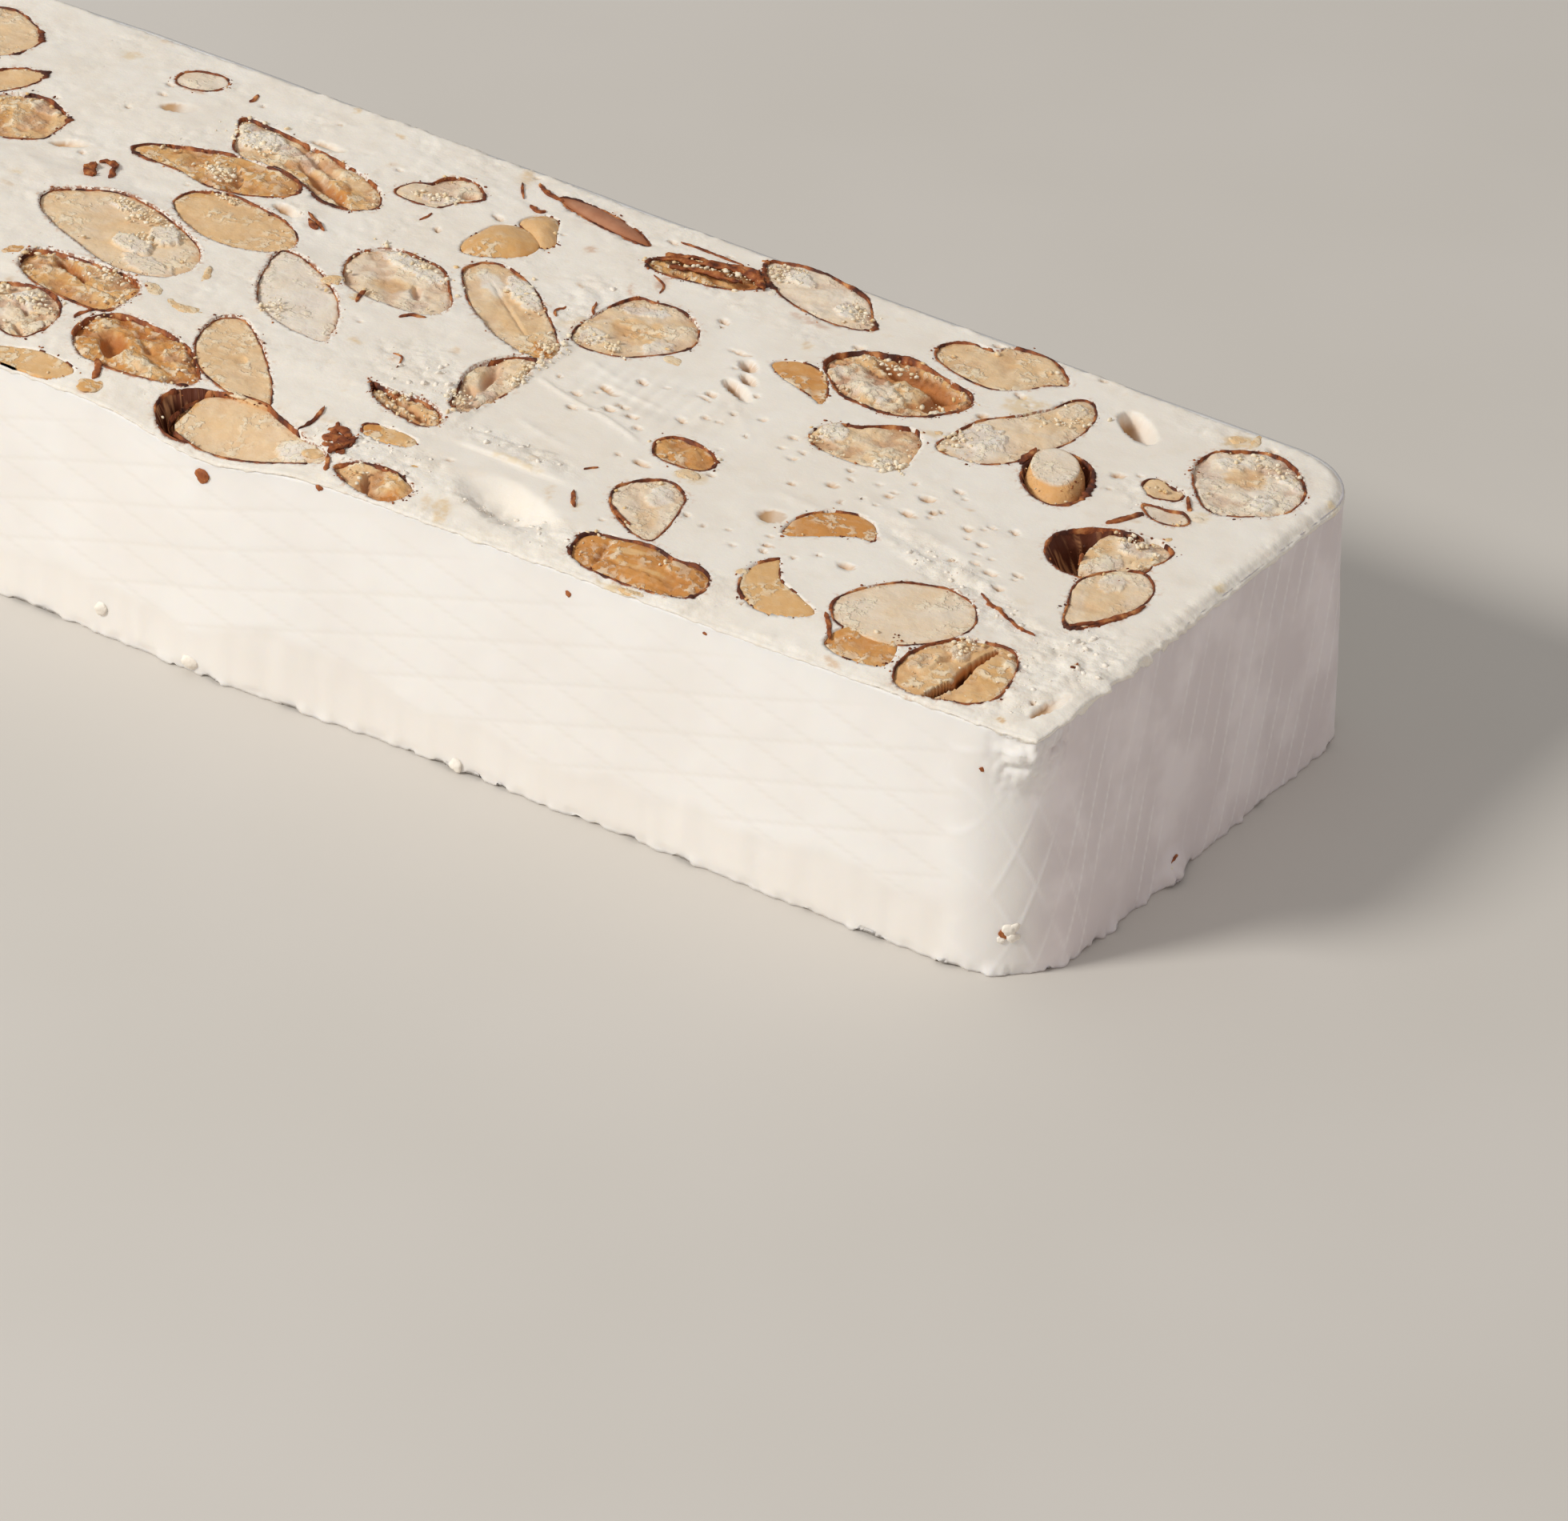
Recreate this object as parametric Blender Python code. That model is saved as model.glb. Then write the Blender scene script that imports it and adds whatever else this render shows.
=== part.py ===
"""A bar of soft almond nougat with one face cut by a knife.

The block is cast white nougat. Its long sides and ends kept the skin of the mould, and its
top is the cut face, where roasted almonds show in section. Each almond is a solid of its own,
flat where the knife went through it and round below, and it sits in a socket of the block.
Frame: +X along the bar, +Y away from its straight long side, +Z up, origin at the middle of
the bottom of the bounding box.
"""

import math

import bmesh
import bpy
from mathutils import Vector

MM = 0.001

# The block
LENGTH = 210.0 * MM
HEIGHT = 32.0 * MM
NEAR_Y = -39.5 * MM  # the straight long side
FAR_Y_LEFT = 39.5 * MM  # the other long side flares towards -X
FAR_Y_RIGHT = 31.4 * MM
FLARE_END_X = -78.0 * MM  # from here to the left end the width stays the same
CORNER_RADIUS = 11.0 * MM  # upright corners, seen from above
SHARP_CORNER = 0.12  # share of that radius left at the top of the near right corner
SHARP_FROM = 0.70  # height, as a share of HEIGHT, from which that corner sharpens
END_BULGE = 0.9 * MM  # how far the ends swell towards the bottom
BULGE_FADE = 8  # the power that keeps that swelling to the ends
SIDE_SWELL = 0.7 * MM  # how far the long sides swell
SWELL_FADE = 4  # the power that keeps that swelling to the long sides
SWELL_X, SWELL_REACH = 82.0 * MM, 26.0 * MM  # the near side's low swelling
NUT_SWELL_X, NUT_SWELL_REACH = -5.0 * MM, 13.0 * MM  # the near side round the edge almond

# The cut face sinks a little towards the near long side, most of all beside the edge almond.
EDGE_DROP, EDGE_REACH = 0.8 * MM, 5.0 * MM
DIP_DROP, DIP_REACH = 2.2 * MM, 8.0 * MM
DIP_X, DIP_LENGTH = -6.5 * MM, 10.0 * MM

# Grid lines of the block, as shares of the straight stretch between two corners
X_LINES = (0.0, 0.14, 0.28, 0.38, 0.44, 0.50, 0.57, 0.72, 0.86, 1.0)
Y_LINES = (0.0, 0.14, 0.34, 0.60, 1.0)
CORNER_LINES = (0.0, 0.42, 0.74)  # inside a corner, from the straight stretch outwards
Z_LINES = (0.0, 0.10, 0.35, 0.65, 0.88, 1.0)

# The almonds
GAP = 0.3 * MM  # between an almond and the nougat round it
LID = 6.0 * MM  # how far a socket's cutter stands above the cut face
DEPTH_SHARE = 0.46  # an almond's depth below the cut, as a share of its width
LEAST_DEPTH = 1.8 * MM
FACETS = (14, 6)  # facets round an almond, and from its top to its bottom
SMALL = 9.5 * MM  # an almond shorter than this gets fewer
SMALL_FACETS = (10, 4)
SPAN = 4.0 * MM  # an almond's flat follows the cut face's slope over this far to each side

# name: x, y, length, width (mm), turn (degrees, the tip's direction),
#       taper (how much the tip narrows), bend (mm, sideways bow of the middle), sink (mm), tone
ALMONDS = {
    "almond_01": (-74.3, 9.9, 12.6, 11.0, 0, 0.00, 0.0, 0.0, "roasted"),
    "almond_02": (-62.6, 31.2, 7.4, 5.8, 5, 0.00, 0.0, 0.0, "ivory"),
    "almond_03": (-37.6, 20.0, 27.6, 7.8, -21, 0.10, 0.0, 0.0, "roasted"),
    "almond_04": (-46.6, 12.8, 21.6, 6.0, 1, 0.10, 0.8, 0.0, "tan"),
    "almond_05": (-35.6, 3.7, 19.6, 8.8, -8, 0.05, 0.0, 0.0, "tan"),
    "almond_06": (-45.4, -7.6, 26.0, 12.6, -18, 0.00, 0.0, 0.0, "ivory"),
    "almond_07": (-17.8, -7.4, 23.0, 9.2, -43, 0.05, 0.0, 0.0, "ivory"),
    "almond_08": (-11.6, 3.2, 16.2, 10.4, -12, 0.05, 0.0, 0.0, "ivory"),
    "almond_09": (4.2, 5.2, 25.6, 8.2, -39, 0.00, 0.0, 0.0, "ivory"),
    "almond_10": (19.8, 9.6, 13.8, 12.4, 90, 0.00, 0.0, 0.0, "ivory"),
    "almond_11": (-20.2, 24.3, 9.6, 7.4, 35, 0.00, 0.0, 0.0, "ivory"),
    "almond_12": (-8.0, 17.2, 8.4, 6.4, 80, 0.00, 0.0, 0.0, "roasted"),
    "almond_13": (-0.5, 30.2, 15.0, 3.2, -14, 0.10, 0.0, 0.0, "skin"),
    "almond_14": (16.2, 25.8, 14.0, 4.2, 17, 0.00, 0.0, 0.0, "skin"),
    "almond_15": (30.8, 29.4, 20.0, 7.6, -22, 0.00, 0.0, 0.0, "ivory"),
    "almond_16": (57.0, 27.6, 17.0, 8.6, 2, 0.05, 0.0, 0.0, "tan"),
    "almond_17": (50.6, 16.4, 18.8, 10.4, -10, 0.00, 0.0, 0.0, "roasted"),
    "almond_18": (39.6, 10.4, 11.2, 4.4, -28, 0.15, 0.8, 0.0, "roasted"),
    "almond_19": (55.0, 2.8, 12.8, 8.6, 8, 0.00, 0.0, 0.0, "ivory"),
    "almond_20": (66.4, 15.6, 21.4, 8.8, 68, 0.00, 0.0, 0.0, "ivory"),
    "almond_21": (74.9, 10.0, 8.2, 5.2, -63, 0.00, 0.0, 0.2, "tan"),
    "almond_22": (-5.4, 24.0, 7.0, 4.0, -58, 0.10, 0.0, 0.0, "roasted"),
    "almond_23": (90.1, 8.7, 5.6, 3.0, 0, 0.00, 0.0, 0.0, "ivory"),
    "almond_24": (94.0, 20.4, 15.6, 13.8, 100, 0.00, 0.0, 0.0, "ivory"),
    "almond_25": (91.2, -2.0, 10.6, 6.0, -102, 0.15, 0.0, 0.3, "roasted"),
    "almond_26": (95.0, -12.2, 13.2, 7.8, -88, 0.20, 0.0, 0.0, "tan"),
    "almond_27": (39.9, -11.5, 8.4, 5.8, -8, 0.00, 0.0, 0.0, "tan"),
    "almond_28": (42.6, -23.6, 13.8, 8.2, -62, 0.28, 0.0, 0.0, "ivory"),
    "almond_29": (49.6, -34.6, 16.6, 7.2, 2, 0.00, 0.0, 0.0, "roasted"),
    "almond_30": (63.1, -17.9, 9.8, 4.8, 22, 0.00, 3.3, 0.0, "roasted"),
    "almond_31": (65.6, -28.9, 12.0, 5.2, -35, 0.10, -3.2, 0.0, "tan"),
    "almond_32": (79.0, -25.0, 15.0, 10.4, 12, 0.00, 0.0, 0.0, "ivory"),
    "almond_33": (77.8, -34.0, 9.4, 5.6, 3, 0.00, 0.0, 0.0, "roasted"),
    "almond_34": (90.0, -32.6, 12.4, 11.2, 95, 0.00, 0.0, 0.0, "tan"),
    "almond_35": (-71.8, -6.5, 15.2, 8.6, -50, 0.10, 0.0, 0.0, "ivory"),
    "almond_36": (12.8, -11.4, 15.4, 4.2, 94, 0.00, 0.0, 0.0, "ivory"),
    "almond_37": (8.0, -21.4, 12.0, 4.0, -14, 0.00, 0.0, 0.0, "skin"),
    "almond_38": (11.0, -27.8, 8.0, 3.6, -5, 0.00, 0.0, 0.0, "roasted"),
    "almond_39": (-41.4, -19.2, 16.8, 7.2, -4, 0.00, 0.0, 0.0, "roasted"),
    "almond_40": (-43.6, -29.4, 12.0, 8.6, -20, 0.00, 0.0, 0.0, "ivory"),
    "almond_41": (-26.0, -28.8, 17.4, 8.6, -12, 0.00, 0.0, 0.0, "roasted"),
    "almond_42": (-13.6, -22.4, 19.2, 8.4, -40, 0.10, 0.0, 0.0, "ivory"),
    "almond_43": (-34.8, -36.6, 13.2, 4.4, 3, 0.00, 0.0, 0.0, "tan"),
    "almond_44": (-2.8, -34.6, 21.8, 8.4, -11, 0.08, 0.0, 0.3, "tan"),
    "almond_45": (15.6, -35.9, 10.6, 6.0, -8, 0.00, 0.0, 0.0, "roasted"),
    "almond_46": (-92.6, 26.0, 14.2, 12.8, 0, 0.00, 0.0, 0.0, "ivory"),
    "almond_47": (-82.8, 15.4, 11.0, 4.6, 62, 0.00, 0.0, 0.0, "tan"),
    "almond_48": (-86.2, 0.4, 12.8, 10.8, 80, 0.00, 0.0, 0.0, "ivory"),
    "almond_49": (-61.5, -20.5, 18.4, 8.4, -28, 0.15, 0.0, 0.0, "tan"),
    "almond_50": (-82.8, -17.2, 17.8, 9.0, 14, 0.10, 0.0, 0.0, "ivory"),
    "almond_51": (-95.2, -13.6, 14.0, 8.4, 72, 0.00, 0.0, 0.0, "ivory"),
    "almond_52": (-59.6, -33.4, 15.2, 8.0, 14, 0.05, 0.0, 0.0, "ivory"),
    "almond_53": (-75.6, -30.6, 14.8, 9.2, -42, 0.10, 0.0, 0.0, "roasted"),
    "almond_54": (-91.6, -29.4, 16.6, 9.0, -14, 0.00, 0.0, 0.0, "ivory"),
    "almond_55": (-96.4, 6.6, 14.8, 7.6, 95, 0.12, 0.0, 0.0, "tan"),
    "almond_56": (86.9, 13.4, 4.8, 3.0, -12, 0.00, 0.0, 0.0, "tan"),
}

# Hollows that the knife opened beside or above an almond, or that an almond left behind
# name: x, y, length, width (mm), turn (degrees), depth (mm)
HOLLOWS = {
    "hollow_round": (76.1, 8.9, 12.2, 8.2, -65, 5.0),
    "hollow_dark": (88.3, -2.4, 11.4, 10.2, 5, 5.5),
    "hollow_edge": (-10.4, -35.0, 9.0, 6.4, -45, 4.0),
    "hollow_white": (77.1, 24.3, 7.8, 3.0, -35, 3.0),
    "trough": (30.0, -32.4, 17.0, 7.0, -14, 1.2),
}

NOUGAT_COLOUR, NOUGAT_ROUGHNESS = (0.86, 0.83, 0.78, 1.0), 0.5
ALMOND_ROUGHNESS = 0.55
TONES = {
    "ivory": (0.72, 0.61, 0.43, 1.0),
    "tan": (0.62, 0.43, 0.23, 1.0),
    "roasted": (0.48, 0.26, 0.09, 1.0),
    "skin": (0.24, 0.09, 0.03, 1.0),
}


def clear_scene():
    for thing in list(bpy.data.objects):
        bpy.data.objects.remove(thing, do_unlink=True)


def collection(name):
    made = bpy.data.collections.new(name)
    bpy.context.scene.collection.children.link(made)
    return made


def material(name, colour, roughness):
    made = bpy.data.materials.new(name)
    made.use_nodes = True
    shader = made.node_tree.nodes["Principled BSDF"]
    shader.inputs["Base Color"].default_value = colour
    shader.inputs["Roughness"].default_value = roughness
    shader.inputs["Metallic"].default_value = 0.0
    return made


def smooth_step(low, high, value):
    share = min(max((value - low) / (high - low), 0.0), 1.0)
    return share * share * (3.0 - 2.0 * share)


def bell(value, reach):
    return math.exp(-((value / reach) ** 2))


def cut_height(x, y):
    """The height of the cut face above the bottom."""
    inwards = max(y - NEAR_Y, 0.0)
    edge = EDGE_DROP * bell(inwards, EDGE_REACH)
    dip = DIP_DROP * bell(x - DIP_X, DIP_LENGTH) * bell(inwards, DIP_REACH)
    return HEIGHT - edge - dip


def far_side(x):
    """Where the flared long side stands, for a place along the bar."""
    share = (x - FLARE_END_X) / (LENGTH / 2 - FLARE_END_X)
    return FAR_Y_LEFT + (FAR_Y_RIGHT - FAR_Y_LEFT) * min(max(share, 0.0), 1.0)


def grid_places(low, high, lines):
    """Grid places from low to high: three in each corner, and lines between the corners."""
    inner_low, inner_high = low + CORNER_RADIUS, high - CORNER_RADIUS
    outer_low = [inner_low - CORNER_RADIUS * (1.0 - share) for share in CORNER_LINES]
    outer_high = [inner_high + CORNER_RADIUS * (1.0 - share) for share in reversed(CORNER_LINES)]
    middle = [inner_low + (inner_high - inner_low) * share for share in lines]
    return outer_low + middle + outer_high


def rounded_corner(x, y, low_y, high_y, keep):
    """Draws a point of a square corner in to the round one; keep is 1 at full radius."""
    inner_x = LENGTH / 2 - CORNER_RADIUS
    over_x = abs(x) - inner_x
    over_y = max(low_y + CORNER_RADIUS - y, y - high_y + CORNER_RADIUS)
    if over_x <= 0.0 or over_y <= 0.0:
        return x, y
    pull = (max(over_x, over_y) / math.hypot(over_x, over_y) - 1.0) * keep
    x += math.copysign(1.0, x) * over_x * pull
    y += math.copysign(1.0, y - (low_y + high_y) / 2) * over_y * pull
    return x, y


def block_point(x, y, height):
    """Moves a point of the plain block, height a share from 0 to 1, to its real place."""
    near_right = x > 0.0 and y < 0.0
    sharpness = smooth_step(SHARP_FROM, 1.0, height) if near_right else 0.0
    keep = 1.0 - sharpness * (1.0 - SHARP_CORNER)
    x, y = rounded_corner(x, y, NEAR_Y, FAR_Y_LEFT, keep)
    across = (y - NEAR_Y) / (FAR_Y_LEFT - NEAR_Y)
    y = NEAR_Y + across * (far_side(x) - NEAR_Y)
    low = 1.0 - smooth_step(0.0, 1.0, height)
    near_swell = bell(x - SWELL_X, SWELL_REACH) * low
    near_swell = max(near_swell, bell(x - NUT_SWELL_X, NUT_SWELL_REACH))
    y -= SIDE_SWELL * near_swell * (1.0 - across) ** SWELL_FADE
    y += SIDE_SWELL * low * across**SWELL_FADE
    endwards = (abs(x) / (LENGTH / 2)) ** BULGE_FADE
    x -= END_BULGE * (1.0 - low) * endwards * math.copysign(1.0, x)
    return Vector((x, y, cut_height(x, y) * height))


def make_block(parts, look):
    """The nougat block before the sockets are cut."""
    x_places = grid_places(-LENGTH / 2, LENGTH / 2, X_LINES)
    y_places = grid_places(NEAR_Y, FAR_Y_LEFT, Y_LINES)
    bm = bmesh.new()
    bmesh.ops.create_grid(
        bm, x_segments=len(x_places) - 1, y_segments=len(y_places) - 1, size=1.0
    )
    # The grid's points run from -1 to 1, so their own place gives their row and column.
    for vert in bm.verts:
        column = round((vert.co.x + 1.0) / 2.0 * (len(x_places) - 1))
        row = round((vert.co.y + 1.0) / 2.0 * (len(y_places) - 1))
        vert.co = (x_places[column], y_places[row], 0.0)
    ring = list(bm.faces)
    for level in Z_LINES[1:]:
        raised = bmesh.ops.extrude_face_region(bm, geom=ring)["geom"]
        for vert in (part for part in raised if isinstance(part, bmesh.types.BMVert)):
            vert.co.z = level
        if level != Z_LINES[1]:
            bmesh.ops.delete(bm, geom=ring, context="FACES_KEEP_BOUNDARY")
        ring = [part for part in raised if isinstance(part, bmesh.types.BMFace)]
    for vert in bm.verts:
        vert.co = block_point(*vert.co)
    return add_object("nougat", bm, parts, look)


def half_almond(spec, grow, depth=None):
    """An almond cut at its own height: flat on top, round below. grow widens it all round."""
    x, y, length, width, turn, taper, bend, sink = spec
    length, width, bend = length * MM, width * MM, bend * MM
    if depth is None:
        depth = max(width * DEPTH_SHARE, LEAST_DEPTH)
    bm = bmesh.new()
    segments, rings = SMALL_FACETS if length < SMALL else FACETS
    bmesh.ops.create_uvsphere(bm, u_segments=segments, v_segments=rings, radius=1.0)
    everything = list(bm.verts) + list(bm.edges) + list(bm.faces)
    cut = bmesh.ops.bisect_plane(
        bm, geom=everything, plane_co=(0, 0, 0), plane_no=(0, 0, 1), clear_outer=True
    )
    rim = [part for part in cut["geom_cut"] if isinstance(part, bmesh.types.BMEdge)]
    bmesh.ops.contextual_create(bm, geom=rim)
    centre = Vector((x * MM, y * MM))
    top = cut_height(*centre)
    rise = cut_height(centre.x, centre.y + SPAN) - cut_height(centre.x, centre.y - SPAN)
    slope = rise / (2 * SPAN)
    facing = Vector((math.cos(math.radians(turn)), math.sin(math.radians(turn))))
    across = Vector((-facing.y, facing.x))
    for vert in bm.verts:
        along, side, down = vert.co
        offset = facing * along * (length / 2 + grow)
        offset += across * side * (width / 2 * (1.0 - taper * along) + grow)
        offset += across * bend * (1.0 - along * along)
        place = centre + offset
        level = min(top + slope * offset.y, HEIGHT) - sink * MM
        vert.co = (place.x, place.y, level + down * (depth + grow))
    return bm


def raise_lid(bm):
    """Extrudes the flat top upwards, so that a cutter opens its socket to the cut face."""
    lid = max(bm.faces, key=lambda face: len(face.verts))
    raised = bmesh.ops.extrude_discrete_faces(bm, faces=[lid])["faces"]
    bmesh.ops.translate(bm, verts=raised[0].verts, vec=(0, 0, LID))


def add_object(name, bm, home, look=None):
    bmesh.ops.recalc_face_normals(bm, faces=bm.faces)
    if bm.calc_volume(signed=True) < 0.0:
        bmesh.ops.reverse_faces(bm, faces=bm.faces)
    mesh = bpy.data.meshes.new(name)
    bm.to_mesh(mesh)
    bm.free()
    made = bpy.data.objects.new(name, mesh)
    home.objects.link(made)
    if look is None:
        made.hide_render = True
        made.display_type = "WIRE"
    else:
        mesh.materials.append(look)
    return made


def make_almonds(parts, cutters):
    looks = {}
    for tone, colour in TONES.items():
        looks[tone] = material(f"almond_{tone}", colour, ALMOND_ROUGHNESS)
    for name, row in ALMONDS.items():
        spec, tone = row[:-1], row[-1]
        add_object(name, half_almond(spec, 0.0), parts, looks[tone])
        cutter = half_almond(spec, GAP)
        raise_lid(cutter)
        add_object(f"socket_{name[-2:]}", cutter, cutters)


def make_hollows(cutters):
    for name, (x, y, length, width, turn, depth) in HOLLOWS.items():
        cutter = half_almond((x, y, length, width, turn, 0, 0, 0), 0.0, depth * MM)
        raise_lid(cutter)
        add_object(name, cutter, cutters)


def cut_sockets(block, cutters):
    cut = block.modifiers.new("sockets", "BOOLEAN")
    cut.operation = "DIFFERENCE"
    cut.operand_type = "COLLECTION"
    cut.collection = cutters
    cut.solver = "EXACT"


def main():
    clear_scene()
    parts = collection("nougat_bar")
    cutters = collection("cutters")
    block = make_block(parts, material("nougat", NOUGAT_COLOUR, NOUGAT_ROUGHNESS))
    make_almonds(parts, cutters)
    make_hollows(cutters)
    cut_sockets(block, cutters)


main()
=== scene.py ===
# %% [markdown]
# # A bar of almond nougat
# The real bar is white nougat, beaten stiff and cast in a mould, with whole roasted almonds in
# it. A knife took off one face, so there the almonds show in section, each inside the thin
# brown line of its skin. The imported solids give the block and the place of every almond.
# This lesson makes the surfaces that the eye sees, piece by piece, around those solids.

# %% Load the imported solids
import math
import random
from collections import namedtuple

import bmesh
import bpy
import numpy as np
from mathutils import Matrix, Vector, noise


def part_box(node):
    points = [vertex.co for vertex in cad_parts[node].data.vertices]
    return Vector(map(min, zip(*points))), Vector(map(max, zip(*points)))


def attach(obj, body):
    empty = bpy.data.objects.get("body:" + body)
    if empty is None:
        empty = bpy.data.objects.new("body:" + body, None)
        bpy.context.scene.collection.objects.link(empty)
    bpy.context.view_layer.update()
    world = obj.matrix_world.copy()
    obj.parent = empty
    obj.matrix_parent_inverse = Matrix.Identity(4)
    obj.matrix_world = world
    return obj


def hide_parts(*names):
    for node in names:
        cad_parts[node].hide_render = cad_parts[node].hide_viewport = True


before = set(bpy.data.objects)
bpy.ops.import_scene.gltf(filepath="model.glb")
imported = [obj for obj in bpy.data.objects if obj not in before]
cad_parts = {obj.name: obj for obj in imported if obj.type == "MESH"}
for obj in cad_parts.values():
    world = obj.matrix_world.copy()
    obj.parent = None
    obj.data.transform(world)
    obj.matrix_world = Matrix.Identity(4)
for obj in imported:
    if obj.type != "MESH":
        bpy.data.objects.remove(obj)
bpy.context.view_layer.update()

# %% [markdown]
# ## Measures
# Everything below is reckoned in millimetres, which is how a confectioner would measure a bar,
# and only the finished meshes are scaled to metres. The block's box comes from the packed
# solid, and the rest are the few sizes that give the block its form.

# %% Sizes of the block, in mm
MM = 0.001
block_low, block_high = (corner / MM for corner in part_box("nougat"))
HALF = block_high.x
HEIGHT = block_high.z
NEAR_Y, FAR_Y_LEFT, FAR_Y_RIGHT = -39.5, 39.5, 31.4
FLARE_END_X = -78.0
CORNER_RADIUS = 11.0
SHARP_CORNER, SHARP_FROM = 0.12, 0.70
END_BULGE, SIDE_SWELL = 0.9, 0.7
SWELL_X, SWELL_REACH = 82.0, 26.0
NUT_SWELL_X, NUT_SWELL_REACH = -5.0, 13.0
EDGE_DROP, EDGE_REACH = 0.8, 5.0
DIP_DROP, DIP_REACH, DIP_X, DIP_LENGTH = 2.2, 8.0, -6.5, 10.0
print("block", round(2 * HALF, 1), "x", round(block_high.y - block_low.y, 1), "x", round(HEIGHT, 1))

# %% Helpers for arrays of points
def smooth(low, high, value):
    """0 below low, 1 above high, and a soft step between. low may be the larger one."""
    share = np.clip((value - low) / (high - low), 0.0, 1.0)
    return share * share * (3.0 - 2.0 * share)


def bell(value, reach):
    return np.exp(-((value / reach) ** 2))


def grain(points, size, seed=0, octaves=1):
    """Noise from about -1 to 1 at each point. size is the width of its lumps in mm."""
    scaled = (np.asarray(points, float) / size + 17.3 * (seed + 1)).tolist()
    if octaves == 1:
        return np.array([noise.noise(point) for point in scaled])
    return np.array([noise.fractal(point, 0.9, 2.1, octaves) for point in scaled])


def billow(points, size, seed=0, octaves=3):
    """Puffy lumps with sharp creases between them, from 0 to about 1."""
    scaled = (np.asarray(points, float) / size + 31.7 * (seed + 1)).tolist()
    return np.array([noise.turbulence(point, octaves, True) for point in scaled])


def flat(x, y):
    """Points at height 0, for noise that only follows x and y."""
    return np.column_stack((x, y, np.zeros_like(x)))


def swung(forth, across, turn):
    """Lengths along and across something that is turned by so many degrees, in x and y."""
    cosine, sine = np.cos(np.radians(turn)), np.sin(np.radians(turn))
    return forth * cosine - across * sine, forth * sine + across * cosine


# %% The block's form
def cut_height(x, y):
    """Height of the knife's cut: it sinks a little at the near edge, most by the edge almond."""
    inwards = np.maximum(y - NEAR_Y, 0.0)
    edge = EDGE_DROP * bell(inwards, EDGE_REACH)
    return HEIGHT - edge - DIP_DROP * bell(x - DIP_X, DIP_LENGTH) * bell(inwards, DIP_REACH)


def far_edge(x):
    """Where the cut face ends at the far side, which flares out towards the left."""
    flare = np.clip((x - FLARE_END_X) / (HALF - FLARE_END_X), 0.0, 1.0)
    return FAR_Y_LEFT + (FAR_Y_RIGHT - FAR_Y_LEFT) * flare


def block_points(x, y, share):
    """Takes points of a plain block, share from 0 at the bottom to 1 at the cut, to their place."""
    inner_x = HALF - CORNER_RADIUS
    over_x = np.maximum(np.abs(x) - inner_x, 0.0)
    over_y = np.maximum(np.maximum(NEAR_Y + CORNER_RADIUS - y, y - FAR_Y_LEFT + CORNER_RADIUS), 0.0)
    reach = np.maximum(np.hypot(over_x, over_y), 1e-6)
    near_right = (x > 0.0) & (y < 0.0)
    keep = 1.0 - np.where(near_right, smooth(SHARP_FROM, 1.0, share) * (1.0 - SHARP_CORNER), 0.0)
    in_corner = (over_x > 0.0) & (over_y > 0.0)
    pull = np.where(in_corner, (np.maximum(over_x, over_y) / reach - 1.0) * keep, 0.0)
    x = x + np.sign(x) * over_x * pull
    y = y + np.sign(y) * over_y * pull
    across = (y - NEAR_Y) / (FAR_Y_LEFT - NEAR_Y)
    y = NEAR_Y + across * (far_edge(x) - NEAR_Y)
    low = 1.0 - smooth(0.0, 1.0, share)
    swell = np.maximum(bell(x - SWELL_X, SWELL_REACH) * low, bell(x - NUT_SWELL_X, NUT_SWELL_REACH))
    y = y - SIDE_SWELL * swell * (1.0 - across) ** 4 + SIDE_SWELL * low * across**4
    x = x - END_BULGE * (1.0 - low) * (np.abs(x) / HALF) ** 8 * np.sign(x)
    return x, y


def outward(x, y):
    """Unit direction away from the block's middle, level, for points of the plain block."""
    inner_x = np.clip(x, -HALF + CORNER_RADIUS, HALF - CORNER_RADIUS)
    inner_y = np.clip(y, NEAR_Y + CORNER_RADIUS, FAR_Y_LEFT - CORNER_RADIUS)
    away = np.column_stack((x - inner_x, y - inner_y))
    return away / np.maximum(np.linalg.norm(away, axis=1), 1e-6)[:, None]


# %% [markdown]
# ## The almonds
# Every almond has a place, a length and a width on the cut face, and a turn. Three numbers say
# how it looks: tone, from pale ivory (0) to deep roasted brown (1); torn, from sliced clean (0)
# to broken out (1); and skin, the share of its rim that kept its brown skin. Some narrow by a
# taper towards their tip, or bend like a bow. Three pits, where a nut has gone or stands loose,
# are kept in the same way.

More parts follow.
